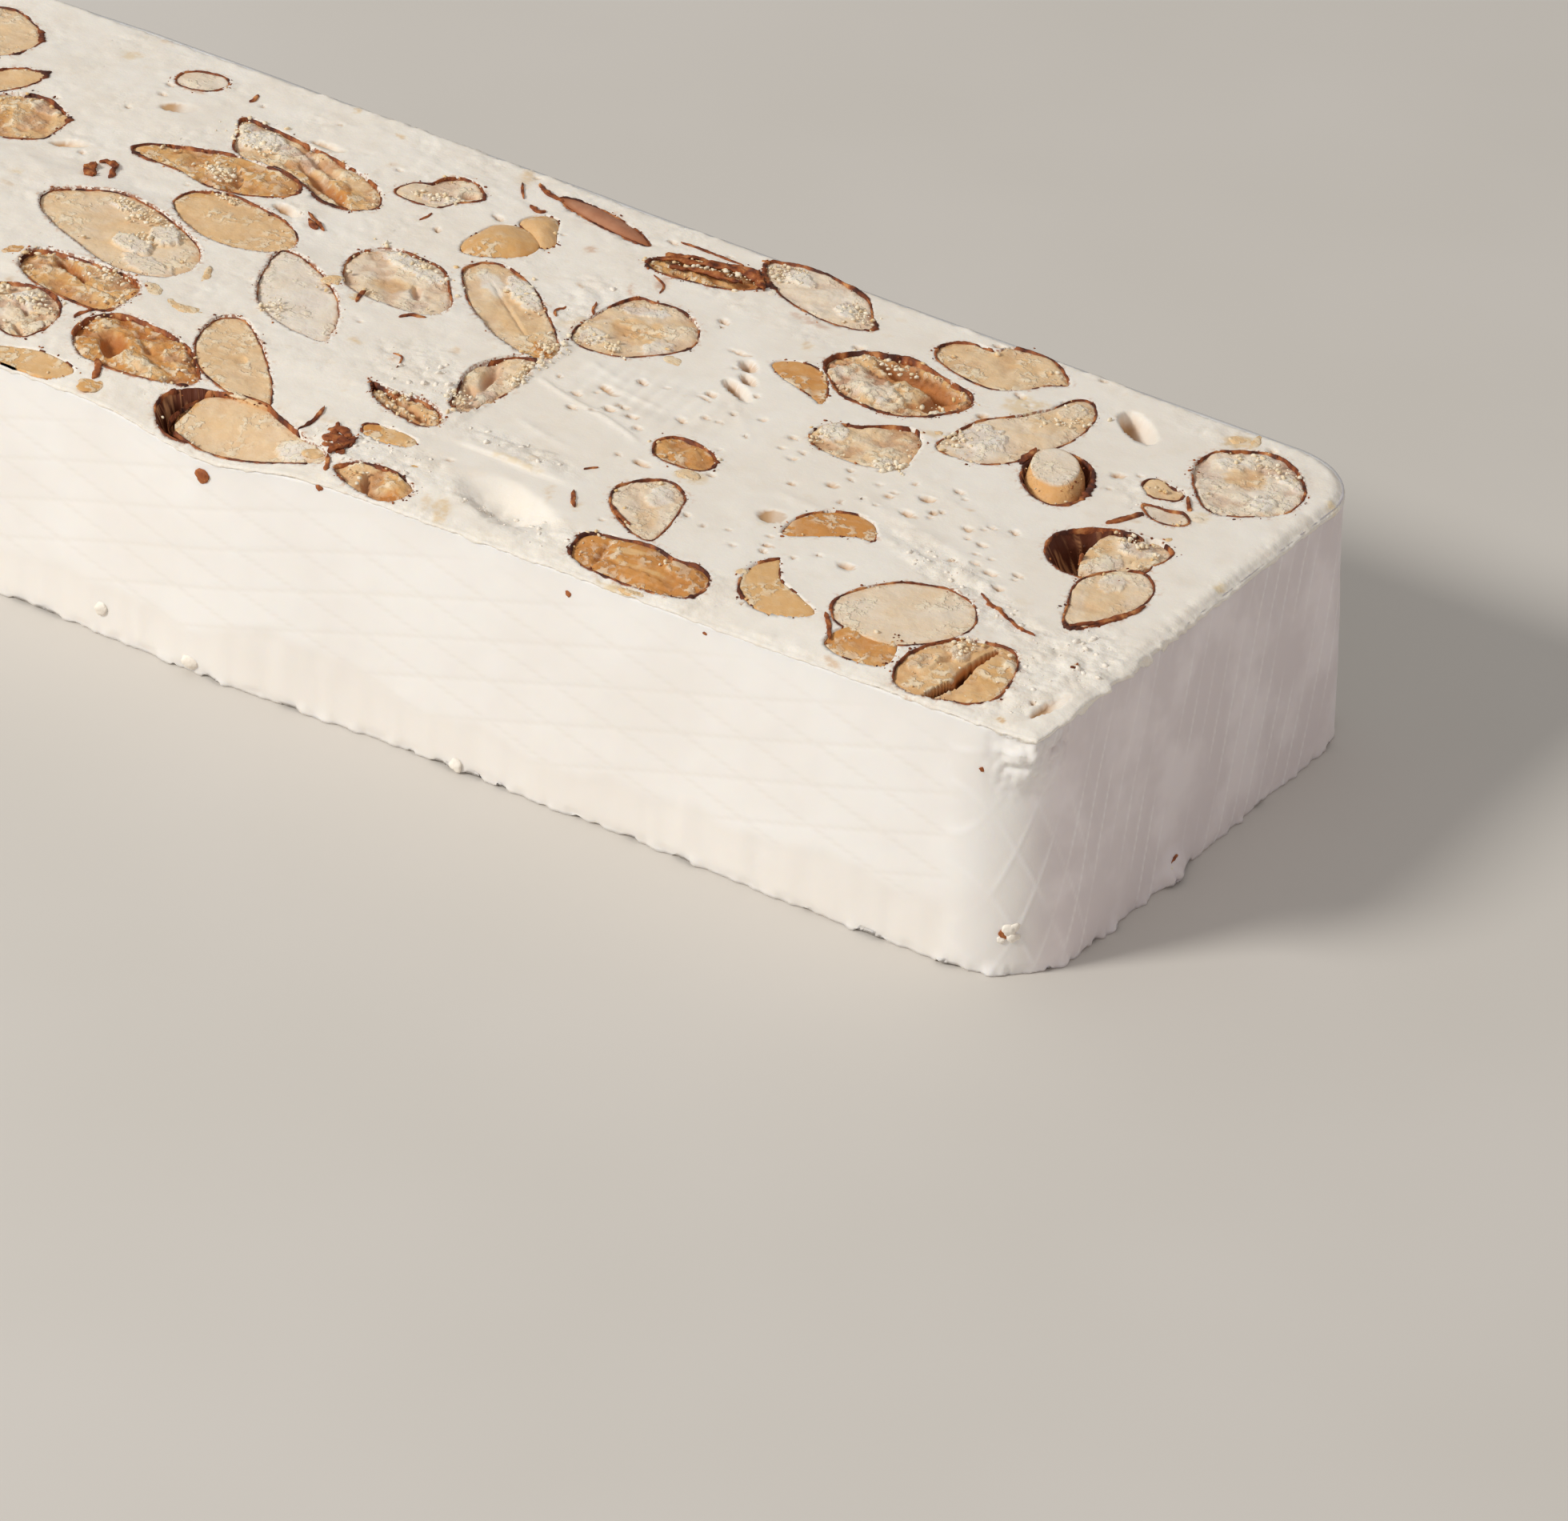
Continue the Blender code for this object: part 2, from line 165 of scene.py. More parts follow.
# %% The almonds by their numbers, and the pits
Nut = namedtuple("Nut", "x y length width turn tone torn skin taper bend", defaults=(0.0, 0.0))
ALMONDS = {
    1: (-74.5, 10, 13.8, 11.8, 0, 0.62, 0.6, 0.6),
    2: (-62.6, 31.2, 7.4, 5.8, 5, 0.15, 0.1, 1),
    3: (-38, 19.6, 28.2, 8.4, -21, 0.45, 0.65, 0.8, 0.1),
    4: (-46.2, 12.9, 22.6, 6.8, 1, 0.8, 0.5, 0.8, 0.1, 0.8),
    5: (-35.6, 3, 20.4, 9.6, -8, 0.55, 0.1, 1, 0.05),
    6: (-45.2, -7.2, 27, 13.8, -18, 0.34, 0.1, 0.9),
    7: (-17.6, -7.2, 24, 9.8, -43, 0.05, 0.1, 1, 0.05),
    8: (-10.8, 3.1, 17, 11.2, -12, 0.22, 0.4, 0.9, 0.05),
    9: (4, 5, 26.4, 8.8, -39, 0.34, 0.2, 1),
    10: (19.2, 9.5, 14.4, 13.2, 90, 0.3, 0.3, 0.8),
    11: (-20.4, 24.2, 10, 7.8, 35, 0.22, 0.35, 0.8),
    12: (-7.6, 17.6, 8.8, 7, 80, 0.82, 0, 0.3),
    13: (-0.9, 30, 15.6, 3.6, -14, 0.9, 0, 1, 0.1),
    14: (16.6, 26, 15, 5.4, 17, 0.85, 1, 1),
    15: (30.2, 29.5, 20.8, 8.2, -22, 0.14, 0.3, 0.9),
    16: (57, 27.4, 17.4, 9.2, 2, 0.42, 0.2, 0.8, 0.05),
    17: (50, 16.2, 19.6, 11.2, -10, 0.6, 1, 0.9),
    18: (40.2, 10.8, 11.6, 4.8, -28, 0.96, 0, 0.5, 0.15, 0.8),
    19: (55, 3, 13, 9, 8, 0.36, 0.6, 0.5),
    20: (67.2, 15.2, 22.2, 9.6, 68, 0.26, 0.2, 0.8),
    21: (75, 10.1, 8.2, 5.6, -57, 0.12, 0, 0),
    22: (-5.4, 23.6, 8.4, 4.4, -58, 0.7, 0.1, 0.3, 0.1),
    23: (90, 8.5, 6, 3.5, 0, 0.15, 0.2, 0.9),
    24: (93.8, 20.2, 16.2, 14.4, 100, 0.12, 0.4, 0.9),
    25: (91.2, -2, 11, 6.6, -102, 0.32, 0.25, 0.5, 0.15),
    26: (94.6, -11, 14.4, 8.4, -88, 0.28, 0.15, 1, 0.2),
    27: (39.9, -11.5, 8.6, 6, -8, 0.95, 0.5, 0.9),
    28: (42.9, -24.1, 14.4, 8.6, -62, 0.22, 0.2, 1, 0.28),
    29: (50, -34.7, 17.2, 7.7, 2, 1.08, 0.3, 1),
    30: (63.1, -17.9, 10.4, 5.2, 22, 1.12, 0.1, 0.6, 0, 3.3),
    31: (65.6, -28.8, 12.4, 5.5, -35, 0.74, 0, 0.5, 0.1, -3.2),
    32: (79, -26, 15.4, 12.6, 14, 0.22, 0, 1),
    33: (78.6, -34.4, 10, 6.2, 3, 0.9, 0.3, 0.2),
    34: (89.9, -32.6, 12.8, 11.8, 95, 0.6, 0.3, 0.9),
    35: (-71.8, -6.5, 15.6, 9, -50, 0.25, 0.1, 0.9, 0.1),
    36: (12.6, -11.2, 16, 5.6, 94, 0.3, 0.5, 0.7),
    37: (8, -21.4, 12.6, 4.4, -14, 0.6, 1, 1),
    38: (10.8, -28, 8.2, 3.2, -5, 0.75, 0.2, 0.1),
    39: (-41.2, -19.6, 17.4, 8.4, -4, 0.8, 0.7, 0.9),
    40: (-42.4, -29.2, 12.6, 9.4, -20, 0.26, 0.7, 0.9),
    41: (-24.6, -28.8, 18.4, 9.4, -12, 0.95, 0.9, 0.9),
    42: (-13.4, -23, 19.8, 9.2, -40, 0.42, 0.1, 1, 0.1),
    43: (-33, -37.4, 11.6, 4.6, 3, 0.68, 0, 0.2),
    44: (-2.4, -34.6, 20.8, 8.8, -11, 0.4, 0.1, 1, 0.08),
    45: (14.8, -36.5, 10.6, 5.6, -8, 0.56, 0.8, 1),
    46: (-92.5, 26.4, 14.8, 13.4, 0, 0.38, 0.1, 1),
    47: (-82.3, 15.6, 12.8, 6, 62, 0.55, 0.1, 1),
    48: (-86.2, 0.4, 13.2, 11.2, 80, 0.3, 0.3, 0.9),
    49: (-61.5, -20.5, 18.8, 8.8, -28, 0.5, 0.2, 0.8, 0.15),
    50: (-82.8, -17.2, 18.2, 9.4, 14, 0.22, 0.1, 0.9, 0.1),
    51: (-95.2, -13.6, 14.4, 8.8, 72, 0.35, 0.4, 0.9),
    52: (-59.6, -33.4, 15.6, 8.4, 14, 0.15, 0.1, 0.9, 0.05),
    53: (-75.6, -30.6, 15.2, 9.6, -42, 0.85, 0.9, 0.9, 0.1),
    54: (-91.6, -29.4, 17, 9.4, -14, 0.28, 0.2, 0.9),
    55: (-96.4, 6.6, 15.2, 8, 95, 0.48, 0.3, 0.8, 0.12),
    56: (86.9, 13.4, 5.4, 3.6, -12, 0.46, 0.3, 0.7),
}
PITS = {
    "round": (76.1, 8.8, 12, 8.3, -62, 0, 0, 1),
    "dark": (89, -3, 12.4, 11.6, 5, 0, 0, 1),
    # the edge pit is the gap round the left end of almond 44; its dark skin lining also stands in for the
    # shade in that gap
    "edge": (-11.6, -35.2, 8.8, 8.2, -45, 0, 0, 1),
}
SINK = {21: -0.4, 25: 0.3, 44: 0.5}  # how far these stand below the cut, in mm
SOCKETS = [*ALMONDS, *PITS]
NUTS = [Nut(*map(float, row)) for row in (*ALMONDS.values(), *PITS.values())]
SKIN_SHARES = np.array([nut.skin for nut in NUTS])
print("almonds:", len(ALMONDS), "pits:", len(PITS))

# %% [markdown]
# Most of the nuts that show were cut or broken out of true, so each of those has its own
# outline: a smooth closed curve through as few points as its shape needs, in mm on the face.

# %% Outlines of the nuts that aren't plain ovals
OUTLINES = {
    1: ((-79.9, 13.2), (-77.3, 15.4), (-75, 15.8), (-73.3, 15.6), (-70.1, 13.9), (-68.8, 13.1),
        (-68.2, 10.8), (-67.9, 8.5), (-68, 6.9), (-69.5, 5.5), (-72.3, 4.1), (-76, 4), (-79.6, 6.5),
        (-80.6, 10)),
    2: ((-66.2, 31.5), (-65.4, 33.1), (-63.4, 33.9), (-61, 33.8), (-59.4, 32.5), (-59.4, 30.8),
        (-60.6, 29.3), (-63, 28.6), (-65.3, 29.2)),
    3: ((-52, 26.2), (-45, 25.5), (-36, 23.7), (-28.5, 21.2), (-25.2, 18.3), (-24.3, 16), (-26, 14),
        (-30.5, 13.6), (-34.5, 15.6), (-40, 17.7), (-47, 18), (-50, 22.2)),
    4: ((-57.8, 11.5), (-56, 13.8), (-50.5, 16.1), (-46, 17.3), (-38, 17), (-34.6, 14.8), (-34.6, 12.2),
        (-38.5, 9.5), (-44, 8.7), (-50, 10), (-55, 10)),
    5: ((-45, 4.5), (-44, 7), (-40.5, 8.5), (-36, 8.1), (-31, 6.9), (-27.2, 4.5), (-25.6, 1.5), (-27, -1),
        (-31, -2.3), (-35.5, -2.2), (-40, -0.6), (-43.8, 2)),
    6: ((-58, -4.5), (-56.3, -1.9), (-51.5, 0.7), (-46, 0.5), (-40, -1.6), (-34.5, -4.8), (-31.8, -8.6),
        (-32.2, -12.6), (-35.5, -14.6), (-41, -14.5), (-47, -12.3), (-52, -10.4), (-56.4, -7.6)),
    7: ((-26.4, 0.2), (-23.5, 0.6), (-19, -1.4), (-14.5, -4.6), (-11, -8.5), (-8.6, -13), (-8.6, -15),
        (-13, -14.9), (-17.5, -13.5), (-21.4, -10.6), (-24.4, -6)),
    8: ((-19, 4.2), (-18.2, 7.6), (-15.5, 9.2), (-9, 8.5), (-5.4, 5.2), (-2, 1.2), (-2.2, -1.6), (-5, -3),
        (-12, -3), (-16.4, -0.8)),
    9: ((-6.8, 10.4), (-5.8, 12.7), (-3, 13.4), (2.5, 11), (8, 6.4), (13.2, 1.3), (14.8, -1.2), (14, -3.2),
        (9.5, -2.9), (4, -0.3), (-1, 3.3), (-5.4, 7.8)),
    10: ((13.2, 15.6), (16, 16.5), (19.5, 16.8), (23, 15), (25.3, 12), (25.8, 8.8), (23.6, 5.4),
        (20.6, 2.8), (16.5, 2.1), (13.6, 3.2), (12.2, 8)),
    11: ((-25.5, 22), (-24.6, 24.4), (-22.9, 25.4), (-22.6, 27.4), (-20.6, 28.8), (-17.6, 28),
        (-15.4, 25.4), (-17.2, 23), (-18.6, 20.6), (-22, 20), (-24.8, 20.6)),
    12: ((-11, 17.6), (-10.4, 21), (-7.8, 22.6), (-4.6, 21.6), (-2.7, 19.2), (-3.2, 16.4), (-6.4, 13.8),
        (-9.4, 13.2), (-10.9, 15.2)),
    13: ((-8.6, 31.9), (-6, 32.6), (-1.5, 32.1), (3, 30.7), (6.5, 28.7), (7.1, 27.5), (2.5, 28), (-3, 29.2),
        (-7, 30.5)),
    14: ((9.4, 25.4), (12, 27.6), (16.5, 29.3), (20, 30.3), (23, 29.2), (24, 27), (21.4, 24.7), (17, 23.4),
        (12.4, 22.9), (9.9, 23.6)),
    15: ((20.8, 32.5), (22, 33.9), (26.5, 34.5), (31.5, 33.5), (35.6, 31.8), (38.4, 28.7), (40.2, 26.2),
        (37.6, 24.6), (33, 24.7), (27.5, 26.4), (22.9, 29.4)),
    16: ((48.4, 27.4), (50, 29.9), (54.2, 30.5), (55.2, 32.2), (59.8, 32.5), (63.3, 30.6), (65.4, 28.2),
        (63.6, 26.6), (62, 24), (58.5, 21.9), (53.5, 22.9), (49.8, 24.7)),
    17: ((40, 17.5), (41.6, 20.2), (45, 21.7), (48, 22.7), (52.5, 21.4), (57.3, 19.8), (59.4, 17.2),
        (58.4, 14.2), (55.8, 11.2), (52.5, 9.8), (46.3, 10.4), (43.2, 12.6), (40.7, 15)),
    18: ((35.6, 12.3), (37.2, 13.8), (39.8, 14.2), (42.3, 13), (44.4, 10.3), (45.6, 7.2), (43, 8.2),
        (39.5, 9.3), (36.6, 10.8)),
    19: ((48.2, 2), (49.5, 4.4), (52, 5.4), (54.6, 7.6), (57.4, 8.6), (59.6, 6.6), (60.8, 3), (61.2, -0.4),
        (57.6, -1.9), (53.5, -2), (49.6, -1)),
    20: ((61.4, 6.4), (61.4, 10.5), (62, 14.6), (64.6, 18), (66.9, 22), (67.7, 25.2), (69.3, 26.4),
        (71.2, 24.9), (72.6, 21.4), (72.8, 17), (71.6, 11.6), (69, 7), (65.2, 5.9)),
    22: ((-8.8, 24.6), (-7.4, 26.9), (-5.2, 26.8), (-3.4, 24), (-1.7, 21.2), (-2.4, 19.6), (-5, 21.3),
        (-8, 22.8)),
    23: ((86.9, 9.4), (89.7, 10), (91.5, 10.5), (93.2, 8.8), (92.5, 7.4), (90.6, 6.9), (88.8, 7.5)),
    24: ((88.8, 26.4), (91.5, 28), (94.6, 27.8), (98, 25.2), (100.4, 21.6), (100.9, 18), (99.4, 15.2),
        (94.9, 12.2), (91.6, 13.8), (88.2, 17.8), (86.6, 21.6), (87, 25)),
    25: ((87, 1.4), (88.6, 2.3), (90.3, 1.5), (91.6, 3.3), (93.8, 3.1), (95.4, 1.7), (95.4, -0.8),
        (93.9, -3.8), (92.2, -5.7), (89.9, -8.2), (88.4, -6.6), (87.2, -3.4)),
    26: ((94.4, -3.7), (97, -5), (98.4, -8), (98.4, -12.6), (96.9, -16.4), (95.2, -18.5), (93.6, -17.8),
        (91.8, -14.2), (90.3, -10), (91.2, -6.4)),
    27: ((35.6, -11.2), (36.6, -9), (39, -8.6), (42.4, -9.6), (44, -11.6), (43.6, -13.6), (41, -14.3),
        (37.4, -13.9)),
    28: ((42.2, -17.8), (45.3, -19.4), (46.9, -22.6), (48.3, -28.6), (47.4, -30.3), (43.4, -28.8),
        (39.6, -25.6), (38.1, -22.2), (39.7, -19.2)),
    29: ((41.2, -34.2), (42.4, -32.2), (45.5, -31.6), (49, -30.7), (52.6, -31.6), (55, -31.1),
        (57.6, -32.4), (58.6, -34.8), (57.6, -37.2), (53.5, -38.1), (47, -38.2), (42.6, -37.2)),
    30: ((58.3, -19.7), (57.9, -17), (58.5, -14.6), (60.5, -12.4), (63.3, -11.5), (66, -12.6),
        (67.7, -15.5), (65.5, -16), (62.6, -17.8), (59.8, -19.8)),
    31: ((61.4, -24.8), (60.1, -27.4), (60.6, -31), (62.3, -33.3), (65.4, -34.7), (69.6, -33.8),
        (71.1, -32), (67.6, -30), (64.2, -28.3), (62.4, -26)),
    32: ((80.5, -19.4), (84, -20.7), (86.3, -24), (86.2, -27.4), (84.3, -30.6), (81.4, -32.8), (77.4, -33),
        (73.6, -32.1), (71.4, -28.8), (72.2, -25), (74.6, -21.5), (77.4, -20)),
    33: ((74.6, -34.2), (76, -31.5), (79.4, -31.1), (82, -32.6), (83, -36), (80.8, -37.2), (77, -37.2),
        (75, -36.2)),
    34: ((90.6, -26.1), (93.2, -26.6), (95.2, -30), (96.1, -34.6), (94.4, -37.2), (91, -38.4),
        (88.2, -38.9), (85.3, -38.2), (83.8, -35.4), (84.2, -31.6), (86.6, -27.6)),
    36: ((13.6, -3.4), (14.9, -7), (15.6, -11), (15.3, -16), (14.4, -18.8), (12.4, -18.6), (10.8, -15.6),
        (9, -11), (9, -8), (10.8, -4.6)),
    37: ((1.6, -18.9), (5, -19.5), (9.4, -19.2), (12.8, -20.8), (14, -22.8), (12.4, -24.2), (8, -23.3),
        (4.2, -21.8)),
    38: ((7, -27.5), (8.4, -26.5), (11.5, -26.4), (14, -27), (14.6, -28.4), (12.4, -29.4), (8.6, -29.3)),
    39: ((-49.9, -17.4), (-48, -15.7), (-42, -15.2), (-36.4, -15.4), (-33.2, -17.4), (-32.4, -21),
        (-33.6, -24), (-38, -24.2), (-45, -22.9), (-49, -20.4)),
    40: ((-48.4, -27), (-46.6, -24.7), (-42, -23.8), (-38.4, -25.6), (-36.2, -29.4), (-36.8, -33.6),
        (-40, -34.2), (-45, -31.2)),
    41: ((-33.8, -26.8), (-32.4, -24.2), (-29.5, -23), (-23, -23.8), (-18.4, -26), (-14.6, -29.9),
        (-15.6, -32), (-21, -33.6), (-28.4, -33.6), (-32.6, -30.4)),
    42: ((-21.8, -18.8), (-20.8, -16.3), (-18.6, -16.1), (-14, -19.3), (-9, -24), (-5.2, -28.6),
        (-5.4, -29.9), (-11, -29.8), (-16, -28), (-20, -23.8)),
    44: ((-12.9, -31.6), (-10, -30.1), (-6, -29.4), (-2.8, -30.5), (3, -33), (6.6, -34.4), (7.9, -36.2),
        (5.2, -37.7), (-0.5, -38.9), (-8, -39), (-13.4, -37)),
    45: ((9.7, -36.3), (11.6, -34.7), (14.6, -33.9), (18, -34.4), (20.2, -35.8), (19.2, -38.8),
        (14.6, -38.8), (11.4, -37.7)),
    46: ((-95.5, 33), (-92.6, 32.8), (-89.6, 31.4), (-87, 29.6), (-85.5, 27.4), (-85.2, 25.2),
        (-85.9, 22.5), (-88.6, 20.2), (-93, 19.4), (-97.6, 21.2), (-99.8, 26), (-98.8, 30.8)),
    47: ((-78.9, 20.9), (-80.6, 20.9), (-82.4, 20.4), (-84.5, 18.5), (-85.8, 15), (-85.8, 11.5),
        (-84.2, 9.8), (-82, 11), (-80.4, 13.7), (-78.8, 16.6), (-78.4, 18.8)),
    56: ((84.7, 12.7), (84.2, 14.4), (85.2, 15.3), (87.7, 14.7), (89.1, 14.5), (89.6, 12.6), (88.1, 11.7),
        (86.6, 11.5)),
}


def span(before, start, end, after, share):
    """A smooth curve from start to end that heads for the points before and after them."""
    curved = (2 * before - 5 * start + 4 * end - after) * share**2
    curved = curved + (3 * start - before - 3 * end + after) * share**3
    return start + ((end - before) * share + curved) / 2


def through(points, steps=14):
    """A closed smooth curve through a few points."""
    knots = np.array(points, float)
    share = np.linspace(0.0, 1.0, steps, endpoint=False)[:, None]
    fours = zip(np.roll(knots, 1, 0), knots, np.roll(knots, -1, 0), np.roll(knots, -2, 0))
    return np.concatenate([span(*four, share) for four in fours])


# %% [markdown]
# Every outline is kept as a share by which the rim stands out or in at each angle round the
# nut, with a few slow waves added, since no rim is drawn with a ruler. The same outline serves
# the kernel, the skin and the nougat's socket, so the three always meet.

# %% From the face to a nut's own disc and back
ANGLES = np.linspace(-math.pi, math.pi, 361)
WAVES = (2, 3, 4, 5, 9, 17)
WAVE_HEIGHTS = np.array((0.030, 0.034, 0.020, 0.014, 0.008, 0.006))
OUTLINED_WAVES = np.array((0.0, 0.0, 0.0, 0.004, 0.006, 0.006))
drawn = random.Random(11)


def to_disc(index, x, y):
    """Places on the face as places on the nut's unit disc."""
    nut = NUTS[index]
    forth, across = swung(x - nut.x, y - nut.y, -nut.turn)
    along = forth / (nut.length / 2)
    bow = nut.bend * (1.0 - np.clip(along, -1.3, 1.3) ** 2)
    slim = nut.width / 2 * np.maximum(1.0 - nut.taper * along, 0.3)
    return along, (across - bow) / slim, slim


def rim_shares(index):
    waves = WAVE_HEIGHTS
    shares = np.ones_like(ANGLES)
    if SOCKETS[index] in OUTLINES:
        waves = OUTLINED_WAVES
        curve = through(OUTLINES[SOCKETS[index]])
        along, side, _ = to_disc(index, curve[:, 0], curve[:, 1])
        shares = np.interp(ANGLES, np.arctan2(side, along), np.hypot(along, side), period=2 * math.pi)
    for wave, height in zip(WAVES, waves):
        start = drawn.uniform(0.0, 2 * math.pi)
        shares = shares + drawn.uniform(0.3, 1.0) * height * np.cos(wave * ANGLES + start)
    return shares


RIMS = [rim_shares(index) for index in range(len(SOCKETS))]


def almond_points(index, along, side, grow=0.0):
    """Takes points of the unit disc to the cut face. grow widens the almond, in mm."""
    nut = NUTS[index]
    share = np.interp(np.arctan2(side, along), ANGLES, RIMS[index])
    along_share = along * share
    forth = along_share * nut.length / 2 + grow * along
    across = side * share * nut.width / 2 * (1.0 - nut.taper * along_share) + grow * side
    x, y = swung(forth, across + nut.bend * (1.0 - along_share**2), nut.turn)
    return nut.x + x, nut.y + y


def almond_distance(index, x, y):
    """Rough distance of face points from an almond's rim in mm, negative inside it."""
    along, side, slim = to_disc(index, x, y)
    reach = np.maximum(np.hypot(along, side), 1e-6)
    share = np.interp(np.arctan2(side, along), ANGLES, RIMS[index])
    radius = np.hypot(NUTS[index].length / 2 * along, slim * side) / reach
    return (reach / share - 1.0) * radius * share


FAR_OFF = 9.0


def in_square(x, y, middle_x, middle_y, half):
    return np.flatnonzero((np.abs(x - middle_x) < half) & (np.abs(y - middle_y) < half))


def nearest_rim(x, y):
    """The distance from the nearest rim, up to FAR_OFF, and that almond's number."""
    best, which = np.full(len(x), FAR_OFF), np.zeros(len(x), int)
    for index, nut in enumerate(NUTS):
        rows = in_square(x, y, nut.x, nut.y, nut.length / 2 + abs(nut.bend) + 4.0)
        if len(rows) == 0:
            continue
        distance = almond_distance(index, x[rows], y[rows])
        closer = distance < best[rows]
        best[rows[closer]], which[rows[closer]] = distance[closer], index
    return best, which


def slide_to_rims(x, y, reach=0.16, step=0.02):
    """Moves points that lie close to a rim onto it, so that every socket has a clean edge."""
    for _ in range(2):
        distance = nearest_rim(x, y)[0]
        rows = np.flatnonzero(np.abs(distance) < reach)
        here = distance[rows]
        slope_x = (nearest_rim(x[rows] + step, y[rows])[0] - here) / step
        slope_y = (nearest_rim(x[rows], y[rows] + step)[0] - here) / step
        steep = np.maximum(slope_x**2 + slope_y**2, 0.2)
        x[rows] -= here * slope_x / steep
        y[rows] -= here * slope_y / steep
    return x, y


# %% [markdown]
# ## Hollows, pores and marks of the knife
# Beside the pits, the knife left slits and a long trough where it dragged the nougat, and air
# beaten into the nougat shows as rows of small pores. All of these are depths on one map of the
# cut face, and shade is painted on the steep walls of the holes. Most stains are places where
# crushed nut coloured the nougat; one is painted shade on the wall of the big hollow.

# %% Hollows, pores and stains
# every oval, in this table and the later ones, is x, y, length, width and turn, and then depth
HOLLOWS = (
    (77.1, 24.4, 8, 3.4, -37, 3.4), (-64.4, 8, 5.4, 1.6, 27, 0.9), (-32.2, 9.3, 5.2, 1.7, -12, 1.3),
    (-39, 26.1, 5.4, 1.2, 0, 0.9), (31.3, 11.9, 3.4, 0.6, -4, 0.6), (37.3, -16.3, 2.6, 0.9, -10, 0.8),
    (24.4, -4.6, 3.4, 0.8, -22, 0.5), (-60.2, 23.6, 5, 2.6, 20, 0.5), (55.6, -17.4, 3.4, 3, 0, 0.5),
    (33.9, 9.7, 3, 1.8, -35, 2), (35.8, 6.9, 3.4, 1.4, -30, 1.8), (36.2, 4.2, 6.2, 1.8, -28, 2.4),
    (34.2, 1.8, 1.8, 0.9, -15, 0.8), (34.2, 0.5, 2.2, 0.5, -15, 0.6), (68.4, -21.8, 2.1, 1.3, 5, 0.9),
    (67.4, -8.2, 2.4, 1, -12, 0.7), (57, -7.6, 1.9, 1, -5, 0.6), (63.5, -6, 1.2, 0.8, -5, 0.5),
    (69.5, -6.3, 1.4, 0.8, -5, 0.5), (74.5, -7.1, 1.6, 0.8, -15, 0.5), (53.2, -9.9, 1.3, 0.7, -5, 0.4),
    (58.8, -23.1, 1.4, 0.6, 10, 0.4), (81.2, 13.6, 1.8, 1.1, 20, 0.7), (61.8, 15.8, 1.5, 1.2, 0, 0.7),
    (101.6, -33, 1.6, 6, -15, 0.8), (3.6, -37, 1.2, 2.2, 30, 0.6),
)
TROUGH = (30.5, -32.4, 17, 7.4, -17, 1.7)
# from x, y to x, y, half width and height of the fine ridges that nicks in the knife left
RIDGES = (
    (15.6, -6.4, 34.5, -12.6, 0.35, 0.22), (19, -15.4, 30, -18.6, 0.5, 0.14), (22, -3, 33, -4.8, 0.4, 0.12),
    (17, 0.6, 26, -2.2, 0.5, 0.12), (52, -12, 78, -16, 0.6, 0.1), (60, -7.4, 80, -13.6, 0.8, 0.12),
    (34, 6, 44, -5.6, 0.5, 0.09), (66, -1, 82, -8, 0.6, 0.08), (-58, -2.6, -70, 4, 0.7, 0.1),
    (-30, 30.6, -8, 27, 0.6, 0.1),
)
